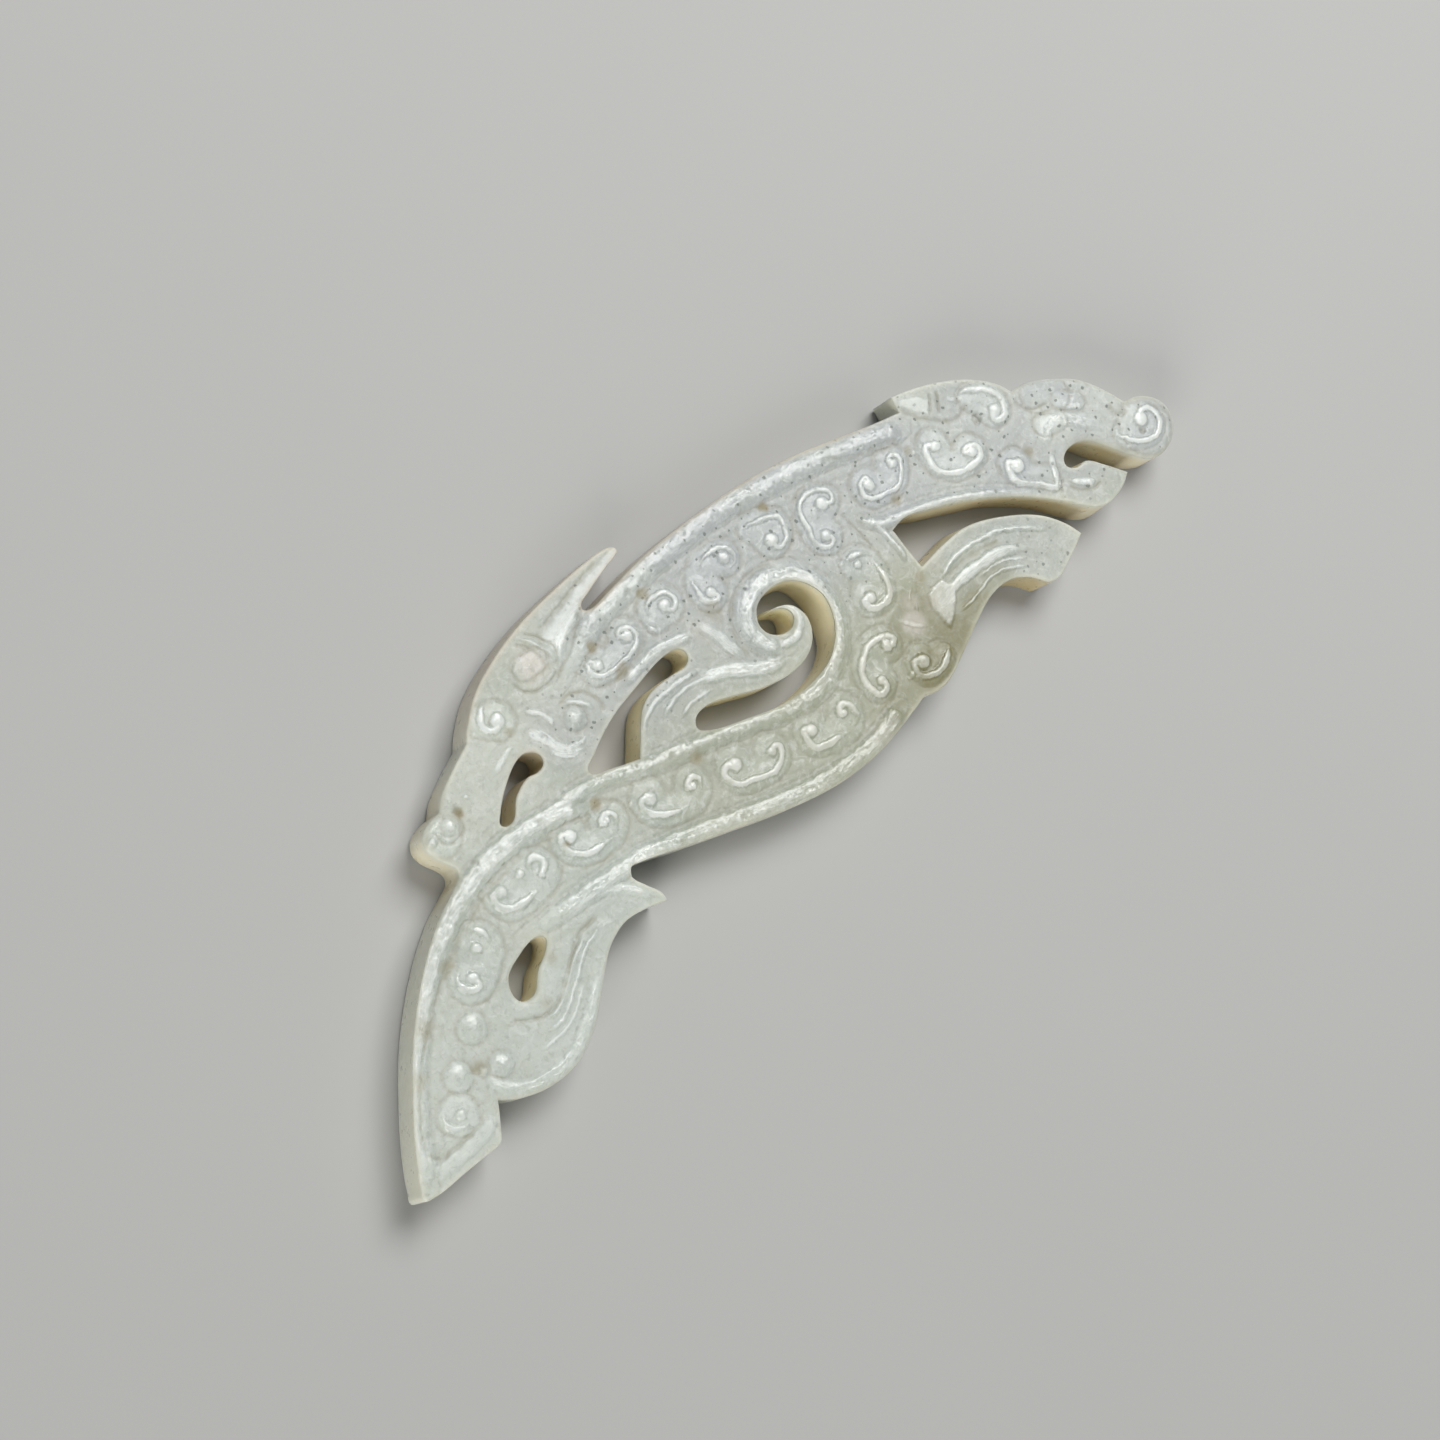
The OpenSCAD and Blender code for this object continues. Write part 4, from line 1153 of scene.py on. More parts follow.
@dataclass
class Walls:
    """The sawn and filed walls: shares of their height, their draft and the round at the back."""

    shares: tuple[float, ...] = (0.05, 0.27, 0.5, 0.73, 0.93, 1.0)
    back_round: float = 0.42
    wobble: float = 0.045
    wobble_end: float = 1.2
    wobble_drift: float = 3.1
    wobbling: Noise = Noise(((1.0, 1.7, 11),), 1.0)
    back_wave: float = 0.015
    back_waves: Noise = Noise(((1.0, 5.0, 17),), 1.0)
    back_flat: float = 2.0
    rim_rows: tuple[float, ...] = (0.03, 0.085, 0.16)
    back_rows: tuple[float, ...] = (0.06, 0.16, 0.3, 0.45)
    # Where a wall leans inwards towards the back. Columns: x, y, how far around, draft
    drafts: Rows = ((11.6, 11.5, 3.5, 0.55), (9.5, 15.3, 2.5, 0.35), (42.5, 0.5, 5, 0.3),
                    (48.3, 1.5, 4, 0.3), (30, 9.5, 5, 0.25))

    def lean(self, points: Numbers) -> Numbers:
        """Give how far the back edge stands out from the front edge at each point."""
        out = np.zeros(len(points))
        for x, y, around, draft in self.drafts:
            out = np.maximum(out, draft * spot(1.5 * away(points, x, y) / around))
        return out

    def rub(self, points: Numbers, share: float) -> Numbers:
        """Give how far the filing has gone inwards at each point, at a share of the wall's height."""
        waves = self.wobbling.at(points + share * self.wobble_drift)
        return self.wobble * share * (self.wobble_end - share) * waves

    def back_level(self, points: Numbers, edge: Numbers) -> Numbers:
        """Work out the heights of the back, rounded at its edge and slightly wavy.

        Args:
            points: The points in millimetres.
            edge: Their distance from the nearest edge.

        Returns:
            The heights over the floor.
        """
        share = np.clip(1 - edge / self.back_round, 0.0, 1.0)
        level = self.back_round * (1 - np.sqrt(1 - np.square(share)))
        return level + self.back_wave * self.back_waves.at(points) * ramp(edge, 0.0, self.back_flat)


class Shell:
    """The plaque's mesh while it is put together, in the tables' millimetres."""

    def __init__(self) -> None:
        """Start with nothing."""
        self.places: list[Numbers] = []
        self.walls: list[Numbers] = []
        self.faces: list[Numbers] = []
        self.count = 0

    def add(self, flat: Numbers, level: Numbers, wall: Numbers) -> Numbers:
        """Add points.

        Args:
            flat: Their places in plan.
            level: Their heights.
            wall: 0 on the faces, 1 on the outer walls and 2 in the openings.

        Returns:
            Their numbers in the mesh.
        """
        self.places.append(np.c_[flat, level])
        self.walls.append(wall)
        first = self.count
        self.count += len(flat)
        return np.arange(first, self.count)

    def mesh(self, name: str, places: Numbers) -> bpy.types.Mesh:
        """Make the mesh.

        Args:
            name: Its name.
            places: Where its points go at last, in millimetres.

        Returns:
            The mesh, in metres and smooth.
        """
        triangles = np.concatenate(self.faces)
        mesh = bpy.data.meshes.new(name)
        mesh.vertices.add(len(places))
        mesh.vertices.foreach_set("co", (places * MM).astype(np.float32).ravel())
        mesh.loops.add(triangles.size)
        mesh.loops.foreach_set("vertex_index", triangles.astype(np.int32).ravel())
        mesh.polygons.add(len(triangles))
        mesh.polygons.foreach_set("loop_start", np.arange(0, triangles.size, 3, dtype=np.int32))
        mesh.polygons.foreach_set("use_smooth", np.ones(len(triangles), bool))
        mesh.update(calc_edges=True)
        mesh.validate()
        return mesh


@dataclass
class Plaque:
    """The pendant itself: one carved slab of jade."""

    outline: Silhouette = field(default_factory=Silhouette)
    relief: Relief = field(default_factory=Relief)
    walls: Walls = field(default_factory=Walls)
    # Spacing of the mesh: of the front, of the back, and of the rows and the grid beside them
    fine: float = 0.148
    back_cell: float = 1.0
    row_room: float = 0.9
    grid_room: float = 0.45
    fine_reach: float = 0.16
    # A hair's breadth, for slopes
    hair: float = 0.02
    # The greatest distance from an edge that matters, and how far in the rim's own tone reaches
    edge_reach: float = 1.4
    rim_tone: float = 0.3
    # How much of a hollow's grime and painted shade lies on the walls and the back, and how much they are
    # dulled
    wall_grime_and_shade: float = 0.4
    # Brown stains lie over this height, and noises make their edges and those of the zones ragged
    stain_floor: float = 2.0
    stain_edge: Noise = Noise(((0.3, 0.5, 41),), 1.0)
    zone_edge: Noise = Noise(((0.12, 3.0, 43),))
    # The reddish skin under the arched side: its lower bound sags away from a middle, and its ends
    rust_low: float = 24.4
    rust_sag: float = 0.012
    rust_middle: float = 2.0
    rust_soft: float = 2.0
    rust_ends: Patch = Patch(((1, 0, -26, 8), (-1, 0, -29.5, 1.5)))
    # Brown stains. Columns: x, y, radius, strength
    stains: Rows = ((-18.4, 13.4, 0.5, 0.8), (-8, 9.8, 0.7, 0.7), (-8.2, 23.8, 0.55, 0.8),
                    (-0.9, 24.1, 0.55, 0.7), (14.5, 21.9, 0.5, 0.9), (-43.3, 4.4, 0.7, 0.55),
                    (-7.6, 20.3, 0.7, 0.6), (-28.6, 21.5, 0.45, 0.9), (-39.2, 12.6, 0.8, 0.45),
                    (-44.6, 10.2, 0.9, 0.4), (25.8, 13.5, 0.6, 0.6), (40.4, 7.6, 0.5, 0.6),
                    (22, 6.6, 0.7, 0.5), (-19.9, 23.5, 0.5, 0.5), (30.3, 16.1, 0.4, 0.5),
                    (-23.2, 12.8, 0.3, 0.8), (-48.4, 7.3, 0.8, 0.35), (3.3, 18.3, 0.9, 0.4),
                    (-31.5, 6.5, 0.6, 0.35), (-34.6, 4, 0.6, 0.3))

    # Colour zones of the stone; aqua is also made lighter as painted light, and the last zone is painted
    # shade on walls. Columns: x, y, radius, strength
    zones: dict[str, Rows] = field(default_factory=lambda: {
        "aqua": ((-34, 1.5, 8, 1.0), (-49, 3, 9, 0.8), (-24, 5, 6, 0.8), (-27, 12, 7, 0.35),
                 (-41, 8, 7, 0.5)),
        "slate": ((-5, 22, 8, 0.8), (7, 22, 8, 1.0), (17, 19, 8, 0.9), (28, 16, 8, 1.0), (38, 11, 8, 1.0),
                  (47, 8, 8, 1.0), (54, 0, 6, 0.9), (-15, 20, 4, 0.6), (4, 14.5, 4, 0.5),
                  (17, 11, 4, 0.4), (34, 1, 5, 0.4)),
        "moss": ((-6, 5, 8, 0.6), (4, 2, 8, 0.9), (12, 3, 7, 1.0), (19, 5, 5, 1.0), (14, 8, 4, 0.4)),
        "olive": ((16.5, -0.8, 3.0, 1.0), (20.6, 0, 3.0, 1.0), (24.6, 0.6, 2.4, 0.8),
                  (19.4, 4.4, 2.4, 0.8), (11.5, -1.0, 3.5, 0.5), (28, 0.6, 2.2, 0.5),
                  (16, 3.5, 2.5, 0.6)),
        "pearl": ((33.5, 12.8, 3.5, 0.45), (-50, 4, 7, 0.8), (-44, 8, 6, 0.5), (-35, 0.5, 6, 0.5),
                  (-24, 23.4, 6, 0.6), (-31, 21, 3, 0.7), (50, 5, 3.4, 0.5), (44.5, 8, 2.6, 0.7),
                  (41, 14, 3, 0.5), (-12, 24.4, 4, 0.6), (-3, 26, 3, 0.4), (34, 18.6, 2, 0.6),
                  (-30, 12, 6, 0.4), (-20, 6, 3, 0.6)),
        "blush": ((-13.8, 26.5, 1.6, 0.9), (18.3, 4, 1.2, 0.8), (19.4, 5.6, 0.9, 0.5),
                  (22.2, 3.6, 1.8, 0.4), (8, -1, 1.6, 0.3), (24.6, 7.2, 1.2, 0.4), (1, 17.8, 1.2, 0.3)),
        "honey": ((27, 10.6, 5, 0.9), (33, 7.6, 5, 0.9), (39, 2, 5, 0.9), (43.5, -1.5, 3, 0.7),
                  (48.5, 1, 3, 0.8), (44, 4.6, 3, 0.9), (51, -2, 3, 0.7), (31.5, -1.5, 3, 0.8),
                  (23, 9.5, 3, 0.8), (-33, 19, 3.4, 0.45), (-30, 23, 3, 0.4), (-33.5, 7, 2.5, 0.5)),
        # Darker brown on the walls of the jaw slot and the fin's notch: painted shade
        "dusk": ((31, -1.4, 2.6, 0.8), (-20.6, 19.8, 2, 0.6), (-24, 18.8, 3, 0.4)),
    })

    def fitted(self, loops: list[Numbers], spots: Numbers) -> Numbers:
        """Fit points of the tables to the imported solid's own box.

        Args:
            loops: The sampled outline and openings in millimetres.
            spots: The points, shape (n, 3).

        Returns:
            The points about the solid's middle, scaled to its length and kept inside its box.
        """
        low, high = (np.array(corner[:]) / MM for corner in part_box("jade_plaque"))
        least, most = loops[0].min(axis=0), loops[0].max(axis=0)
        grow = float((high[0] - low[0]) / (most[0] - least[0]))
        flat = spots.copy()
        flat[:, :2] = (flat[:, :2] - (least + most) / 2) * grow
        return np.clip(flat, low, high)

    def inward(self, loop: Numbers, outer: bool) -> Numbers:
        """Find, at each sample of a clockwise loop, the direction into the jade.

        Args:
            loop: The loop's samples.
            outer: Whether it is the outline and not an opening.

        Returns:
            Unit vectors, shape (n, 2).
        """
        step = np.roll(loop, -1, axis=0) - np.roll(loop, 1, axis=0)
        step /= np.maximum(np.hypot(step[:, 0], step[:, 1]), TINY)[:, None]
        right = np.c_[step[:, 1], -step[:, 0]]
        return right if outer else -right

    def edge_distance(self, loops: list[Numbers], points: Numbers) -> Numbers:
        """Measure points against the nearest edge.

        Args:
            loops: The edges.
            points: The points in millimetres.

        Returns:
            The distances, at most the reach that matters.
        """
        place = Field(points)
        room = np.full(len(points), self.edge_reach)
        for loop in loops:
            d, _, _ = place.measure(np.concatenate([loop, loop[:1]]), self.edge_reach)
            room = np.minimum(room, d)
        return room

    def upright(self, loops: list[Numbers], points: Numbers, edge: Numbers, z: Numbers) -> Numbers:
        """Work out the front's true normals from its heights a hair's breadth away.

        Args:
            loops: The edges.
            points: The front's points in millimetres.
            edge: Their distance from the nearest edge.
            z: Their heights.

        Returns:
            A normal for each point, null beside the edge, where the mesh gives its own.
        """
        slopes = []
        for shift in ((self.hair, 0.0), (0.0, self.hair)):
            beside = points + np.array(shift)
            there, _ = self.relief.carve(beside, self.edge_distance(loops, beside))
            slopes.append((there - z) / self.hair)
        normals = np.c_[-slopes[0], -slopes[1], np.ones(len(points))]
        normals /= np.linalg.norm(normals, axis=1)[:, None]
        normals[edge < self.hair * 2] = 0.0
        return normals

    def within(self, loops: list[Numbers], points: Numbers) -> Numbers:
        """Tell which points lie in the jade, inside the outline and outside the openings."""
        inside = np.zeros(len(points), bool)
        for loop in loops:
            for a, b in zip(loop, np.roll(loop, -1, axis=0)):
                if a[1] == b[1]:
                    continue
                crosses = (points[:, 1] >= min(a[1], b[1])) & (points[:, 1] < max(a[1], b[1]))
                at = a[0] + (points[crosses, 1] - a[1]) * (b[0] - a[0]) / (b[1] - a[1])
                rows = np.flatnonzero(crosses)[at > points[crosses, 0]]
                inside[rows] = ~inside[rows]
        return inside

    def sheet(self, loops: list[Numbers], rows: tuple[float, ...], cell: float,
              face: Face) -> tuple[Numbers, Numbers]:
        """Fill the plaque's shape with triangles.

        Args:
            loops: The edges of the sheet.
            rows: How far inside each edge to lay rows of points.
            cell: The spacing of the points, halved on the front near fine carving.
            face: Which face of the plaque it is.

        Returns:
            The points, the edges' own first and in order, and the triangles, counter-clockwise.
        """
        sets = [np.concatenate(loops)]
        for off in rows:
            ring = np.concatenate([loop + self.inward(loop, i == 0) * off for i, loop in enumerate(loops)])
            sets.append(ring[self.edge_distance(loops, ring) > off * self.row_room])
        low, high = sets[0].min(axis=0), sets[0].max(axis=0)
        rise = cell * math.sqrt(0.75)
        ys = np.arange(low[1], high[1], rise)
        xs = np.arange(low[0], high[0], cell)
        j, i = np.meshgrid(np.arange(len(ys)), np.arange(len(xs)), indexing="ij")
        grid = np.stack([low[0] + (i + (j % 2) * 0.5) * cell, low[1] + j * rise], axis=-1).reshape(-1, 2)
        keep = np.flatnonzero(self.within(loops, grid))
        if face is Face.FRONT:
            coarse = ((j % 2 == 0) & ((i + j // 2) % 2 == 0)).reshape(-1)
            near = self.relief.closeness(grid[keep])
            keep = keep[coarse[keep] | (near < self.fine_reach)]
        grid = grid[keep]
        sets.append(grid[self.edge_distance(loops, grid) > rows[-1] + cell * self.grid_room])
        points = np.concatenate(sets)
        edges, first = [], 0
        for loop in loops:
            edges += [(first + k, first + (k + 1) % len(loop)) for k in range(len(loop))]
            first += len(loop)
        out = delaunay_2d_cdt([Vector(p) for p in points], edges, [], 2, 1e-7)
        where = np.full(len(out[0]), -1)
        for spot, origins in enumerate(out[3]):
            where[spot] = origins[0] if origins else -1
        faces = where[np.array(out[2])]
        faces = faces[(faces >= 0).all(axis=1)]
        centre = points[faces].mean(axis=1)
        faces = faces[self.within(loops, centre)]
        a, b, c = (points[faces[:, k]] for k in range(3))
        turn = (b[:, 0] - a[:, 0]) * (c[:, 1] - a[:, 1]) - (b[:, 1] - a[:, 1]) * (c[:, 0] - a[:, 0])
        faces[turn < 0] = faces[turn < 0][:, ::-1]
        return points, faces

    def drop_walls(self, shell: Shell, loops: list[Numbers], top_z: Numbers) -> tuple[Numbers, Numbers]:
        """Drop the walls from the front's edges, row by row.

        Args:
            shell: The mesh so far, with the front in it.
            loops: The front's edges.
            top_z: Their heights.

        Returns:
            The numbers and the places of the lowest row.
        """
        top = np.concatenate(loops)
        sizes = [len(loop) for loop in loops]
        opening = np.repeat(np.arange(len(loops)) > 0, sizes)
        aim = np.concatenate([self.inward(loop, k == 0) for k, loop in enumerate(loops)])
        following = np.concatenate([np.roll(np.arange(size), -1) + sum(sizes[:k])
                                    for k, size in enumerate(sizes)])
        lean = self.walls.lean(top)
        above = np.arange(len(top))
        for share in self.walls.shares:
            level = top_z + (self.walls.back_round - top_z) * share
            moved = top + aim * (self.walls.rub(top, share) - lean * share)[:, None]
            below = shell.add(moved, level, 1.0 + opening)
            shell.faces.append(np.c_[above, above[following], below[following]])
            shell.faces.append(np.c_[above, below[following], below])
            above = below
        return above, moved

    def lay_back(self, shell: Shell, loops: list[Numbers], ring: Numbers) -> None:
        """Close the back.

        Args:
            shell: The mesh so far.
            loops: The back's edges, as the walls leave them.
            ring: Their numbers in the mesh.
        """
        back, faces = self.sheet(loops, self.walls.back_rows, self.back_cell, Face.BACK)
        edge = self.edge_distance(loops, back)
        edge[:len(ring)] = 0.0
        level = self.walls.back_level(back, edge)
        new = shell.add(back[len(ring):], level[len(ring):], np.zeros(len(back) - len(ring)))
        shell.faces.append(np.concatenate([ring, new])[faces][:, ::-1])

    def build(self) -> bpy.types.Object:
        """Make the plaque's mesh with the masks that its finish reads.

        Returns:
            The mesh object, in metres.
        """
        loops = self.outline.loops()
        ends = np.cumsum([len(loop) for loop in loops])
        front, front_faces = self.sheet(loops, self.walls.rim_rows, self.fine, Face.FRONT)
        edge = self.edge_distance(loops, front)
        edge[:ends[-1]] = 0.0
        z, marks = self.relief.carve(front, edge)
        shell = Shell()
        shell.add(front, z, np.zeros(len(front)))
        shell.faces.append(front_faces)
        ring, moved = self.drop_walls(shell, loops, z[:ends[-1]])
        self.lay_back(shell, np.split(moved, ends[:-1]), ring)
        spots = np.concatenate(shell.places)
        mesh = shell.mesh("carved_jade", self.fitted(loops, spots))
        normals = np.zeros((len(spots), 3))
        normals[:len(front)] = self.upright(loops, front, edge, z)
        mesh.normals_split_custom_set_from_vertices(normals.tolist())
        wall = np.concatenate(shell.walls)
        marks["rim"] = bell(edge, self.rim_tone)
        marks = {name: np.pad(values, (0, len(spots) - len(front))) for name, values in marks.items()}
        marks["hollow"][len(front):] = self.wall_grime_and_shade
        marks["rim"][wall > 0] = np.repeat(1 - np.array(self.walls.shares), ends[-1])
        self.mark(mesh, spots, marks | {"bore": np.clip(wall - 1, 0, 1), "wall": np.clip(wall, 0, 1)})
        piece = bpy.data.objects.new("carved_jade_plaque", mesh)
        bpy.context.scene.collection.objects.link(piece)
        log.info("plaque: %d triangles, %d of them in front", len(mesh.polygons), len(front_faces))
        return piece

    def mark(self, mesh: bpy.types.Mesh, spots: Numbers, masks: dict[str, Numbers]) -> None:
        """Write the masks that the finish reads into the mesh.

        Args:
            mesh: The plaque's mesh.
            spots: Its points in the tables' millimetres.
            masks: The masks worked out so far.
        """
        x, y, z = spots.T
        stain = np.zeros(len(spots))
        edge = self.stain_edge.at(spots[:, :2])
        for at_x, at_y, radius, strength in self.stains:
            stain = np.maximum(stain, strength * spot(away(spots, at_x, at_y) * edge / radius))
        sag = self.rust_sag * np.square(x - self.rust_middle)
        rust = ramp(y + sag, self.rust_low, self.rust_soft) * self.rust_ends.share(spots)
        masks = masks | {"stain": stain * (z > self.stain_floor), "rust": rust}
        edge = self.zone_edge.at(spots[:, :2])
        for name, rows in self.zones.items():
            masks[name] = np.zeros(len(spots))
            for at_x, at_y, radius, strength in rows:
                share = spot(away(spots, at_x, at_y) / radius + edge)
                masks[name] = np.maximum(masks[name], strength * share)
        for name, values in masks.items():
            layer = mesh.attributes.new(name, "FLOAT", "POINT")
            layer.data.foreach_set("value", values.astype(np.float32))


# Shader tools

Value = Union[float, "Wire"]


class Wire:
    """A shader output that takes part in Python expressions on numbers."""

    def __init__(self, bench: "Bench", socket: bpy.types.NodeSocket) -> None:
        """Wrap a socket of a bench's node tree."""
        self.bench = bench
        self.socket = socket

    def __add__(self, other: Value) -> "Wire":
        """Add."""
        return self.bench.maths("ADD", self, other)

    __radd__ = __add__

    def __sub__(self, other: Value) -> "Wire":
        """Subtract."""
        return self.bench.maths("SUBTRACT", self, other)

    def __rsub__(self, other: Value) -> "Wire":
        """Subtract from a number."""
        return self.bench.maths("SUBTRACT", other, self)

    def __mul__(self, other: Value) -> "Wire":
        """Multiply."""
        return self.bench.maths("MULTIPLY", self, other)

    __rmul__ = __mul__


class Bench:
    """A workbench for one material's nodes."""

    def __init__(self, name: str) -> None:
        """Start a material with only its output."""
        self.material = bpy.data.materials.new(name)
        self.material.use_nodes = True
        self.tree = self.material.node_tree
        self.tree.nodes.clear()

    def node(self, kind: str, settings: dict[str, Any] | None = None,
             inputs: dict[str, Any] | None = None) -> bpy.types.Node:
        """Add a node.

        Args:
            kind: The node's type.
            settings: Its settings, set before its sockets.
            inputs: Socket names or identifiers, with a value or a wire for each.

        Returns:
            The node.
        """
        made = self.tree.nodes.new(kind)
        for key, value in (settings or {}).items():
            setattr(made, key, value)
        for key, value in (inputs or {}).items():
            socket = next(s for s in made.inputs if key in (s.identifier, s.name))
            if isinstance(value, Wire):
                self.tree.links.new(value.socket, socket)
            else:
                socket.default_value = value
        return made

    def wire(self, made: bpy.types.Node, output: str | int = 0) -> Wire:
        """Take one output of a node."""
        return Wire(self, made.outputs[output])

    def maths(self, operation: str, a: Value, b: Value = 0.0) -> Wire:
        """Add a Math node.

        Args:
            operation: Which sum it does.
            a: The first number or wire.
            b: The second number or wire.

        Returns:
            Its result.
        """
        return self.wire(self.node("ShaderNodeMath", {"operation": operation}, {"Value": a, "Value_001": b}))

    def clamp(self, value: Value) -> Wire:
        """Keep a number from 0 to 1."""
        return self.wire(self.node("ShaderNodeClamp", None, {"Value": value}))

    def step(self, value: Value, low: float, high: float) -> Wire:
        """Rise smoothly from 0 at one number to 1 at another.

        Args:
            value: The number that rises.
            low: Where the rise starts.
            high: Where it ends.

        Returns:
            The smooth share.
        """
        made = self.node("ShaderNodeMapRange", {"interpolation_type": "SMOOTHSTEP"},
                         {"Value": value, "From Min": low, "From Max": high})
        return self.wire(made)

    def tint(self, share: Value, below: Any, above: Any) -> Wire:
        """Mix two colours.

        Args:
            share: How much of the second.
            below: The first colour or wire.
            above: The second colour or wire.

        Returns:
            The mixed colour.
        """
        made = self.node("ShaderNodeMix", {"data_type": "RGBA"},
                         {"Factor_Float": share, "A_Color": colour(below), "B_Color": colour(above)})
        return Wire(self, next(s for s in made.outputs if s.identifier == "Result_Color"))

    def noise(self, place: Wire, mottle: "Mottle") -> Wire:
        """Add a noise, around 0.5, over the surface."""
        return self.wire(self.node("ShaderNodeTexNoise", None, {
            "Vector": place, "Scale": mottle.scale, "Detail": mottle.detail, "Roughness": mottle.rough,
            "Distortion": mottle.warp}))

    def mask(self, name: str) -> Wire:
        """Read one of the mesh's masks."""
        return self.wire(self.node("ShaderNodeAttribute", {"attribute_name": name}), "Fac")

    def place(self) -> Wire:
        """Give the object's own coordinates in millimetres."""
        spots = self.wire(self.node("ShaderNodeTexCoord"), "Object")
        return self.wire(self.node("ShaderNodeVectorMath", {"operation": "MULTIPLY"}, {
            "Vector": spots, "Vector_001": (1 / MM, 1 / MM, 1 / MM)}))

    def finish(self, shader: bpy.types.Node) -> bpy.types.Material:
        """Lead a shader to the output, and hand over the material."""
        out = self.node("ShaderNodeOutputMaterial")
        self.tree.links.new(shader.outputs[0], out.inputs["Surface"])
        return self.material


def colour(value: Any) -> Any:
    """Give a colour its fourth number, and leave a wire alone."""
    return value if isinstance(value, Wire) else (*value, 1.0)


# Finishes

@dataclass(frozen=True)
class Mottle:
    """A noise: lumps per millimetre, octaves, how strong the fine ones are, and its own twist."""

    scale: float
    detail: float
    rough: float
    warp: float = 0.0


@dataclass(frozen=True)
class JadeFinish:
    """Polished pale celadon jade with its clouds, specks and stains, painted highlights on its crests, and
    grime and painted shade in its hollows.
    """

    celadon: Tone = (0.46, 0.50, 0.44)
    cream: Tone = (0.54, 0.57, 0.50)
    # aqua, the paler tone of the tail end, is lightened further as painted light for the stronger light
    # there
    aqua: Tone = (0.58, 0.64, 0.60)
    pearl: Tone = (0.68, 0.72, 0.66)
    blush: Tone = (0.66, 0.62, 0.56)
    slate: Tone = (0.485, 0.515, 0.52)
    moss: Tone = (0.42, 0.44, 0.335)
    ash: Tone = (0.32, 0.34, 0.30)
    olive: Tone = (0.24, 0.225, 0.11)
    # The amber of the walls in the openings: their own tone, lightened as painted light for light passing
    # through the stone
    amber: Tone = (0.90, 0.84, 0.62)
    honey: Tone = (0.80, 0.71, 0.48)
    # umber darkens the walls towards the back: painted shade
    umber: Tone = (0.38, 0.27, 0.10)
    # Darker brown on some walls: painted shade
    dusk: Tone = (0.37, 0.29, 0.12)
    # ivory, mixed with milk, is the white of the painted highlights on the crests; milk is also the milky
    # veil of the stone
    ivory: Tone = (0.62, 0.62, 0.54)
    # The sand of the rims and the walls, lightened as painted light for light passing through the stone
    sand: Tone = (0.72, 0.72, 0.60)
    # Dirt in the hollows and seams, together with painted shade there
    grime_and_shade: Tone = (0.36, 0.34, 0.25)
    brown: Tone = (0.30, 0.24, 0.11)
    speck: Tone = (0.19, 0.21, 0.19)
    rosy: Tone = (0.56, 0.44, 0.34)
    milk: Tone = (0.76, 0.79, 0.76)

    # Noises through the stone, and scratches that run along a ridge
    clouds: Mottle = Mottle(0.16, 4.0, 0.55, 0.6)
    wisps: Mottle = Mottle(0.7, 5.0, 0.6, 1.2)
    veils: Mottle = Mottle(0.9, 6.0, 0.64, 1.4)
    flecks: Mottle = Mottle(1.6, 5.0, 0.7, 0.6)
    patches: Mottle = Mottle(1.1, 4.0, 0.6)
    crumbs: Mottle = Mottle(3.0, 3.0, 0.7)
    ragged: Mottle = Mottle(4.0, 2.0, 0.6)
    pores: Mottle = Mottle(5.0, 4.0, 0.6)
    swells: Mottle = Mottle(0.9, 2.0, 0.5)
    scratches: Mottle = Mottle(1.0, 4.0, 0.65, 0.3)
    scratch_along: float = 0.8
    scratch_across: float = 6.0

    # The zones in the order in which they lie over each other, with their strengths
    zones: Rows = (("aqua", 0.9), ("slate", 0.95), ("moss", 0.9), ("pearl", 0.8), ("olive", 0.95),
                   ("blush", 0.9))

    # The levels between which each layer fades in, and its strength
    cream_levels: Levels = (0.38, 0.64)
    veil_levels: Levels = (0.47, 0.68)
    veil_share: float = 0.45
    fleck_levels: Levels = (0.48, 0.7)
    fleck_share: float = 0.4
    wisp_levels: Levels = (0.52, 0.72)
    wisp_share: float = 0.25
    grime_and_shade_levels: Levels = (0.45, 1.15)
    grime_and_shade_share: float = 0.25
    seam_share: float = 1.2
    seam_from: float = 0.3
    highlight_levels: Levels = (0.25, 1.15)
    white_moss: float = 0.8
    olive_veil: float = 0.8
    olive_highlight: float = 0.3
    stain_share: float = 0.75
    rim_share: float = 0.45
    wall_share: float = 0.6
    honey_levels: Levels = (0.0, 0.3)
    amber_levels: Levels = (-0.1, 0.3)
    umber_levels: Levels = (0.45, 1.15)
    umber_share: float = 0.7
    umber_bore: float = 0.75
    umber_honey: float = 1.1
    edge_rim: float = 0.7
    dull_levels: Levels = (0.1, 0.62)

    # Dark grains: cells a millimetre, their sizes, their soft edge and the bluish parts that have them
    speck_cells: float = 0.95
    speck_levels: Levels = (0.3, 0.95)
    speck_size: float = 0.2
    speck_ragged: float = 0.34
    speck_soft: float = 0.06
    speck_slate: Levels = (0.1, 0.6)
    speck_share: float = 0.8
    speck_shift: tuple[float, float, float] = (3.7, 1.9, 0.0)

    # Polish, light in the stone, and the height of the bumps in metres
    gloss: float = 0.2
    dullness: float = 0.3
    index: float = 1.61
    glow: float = 0.6
    glow_tone: Tone = (1.0, 0.95, 0.75)
    glow_depth: float = 0.0012
    bump: float = 0.00006
    bump_share: float = 0.5

    def streaks(self, bench: Bench) -> Wire:
        """Draw fine scratches that follow the ridges."""
        spots = bench.node("ShaderNodeCombineXYZ", None, {
            "X": bench.mask("run") * self.scratch_along, "Y": bench.mask("span") * self.scratch_across})
        return bench.noise(bench.wire(spots), self.scratches)

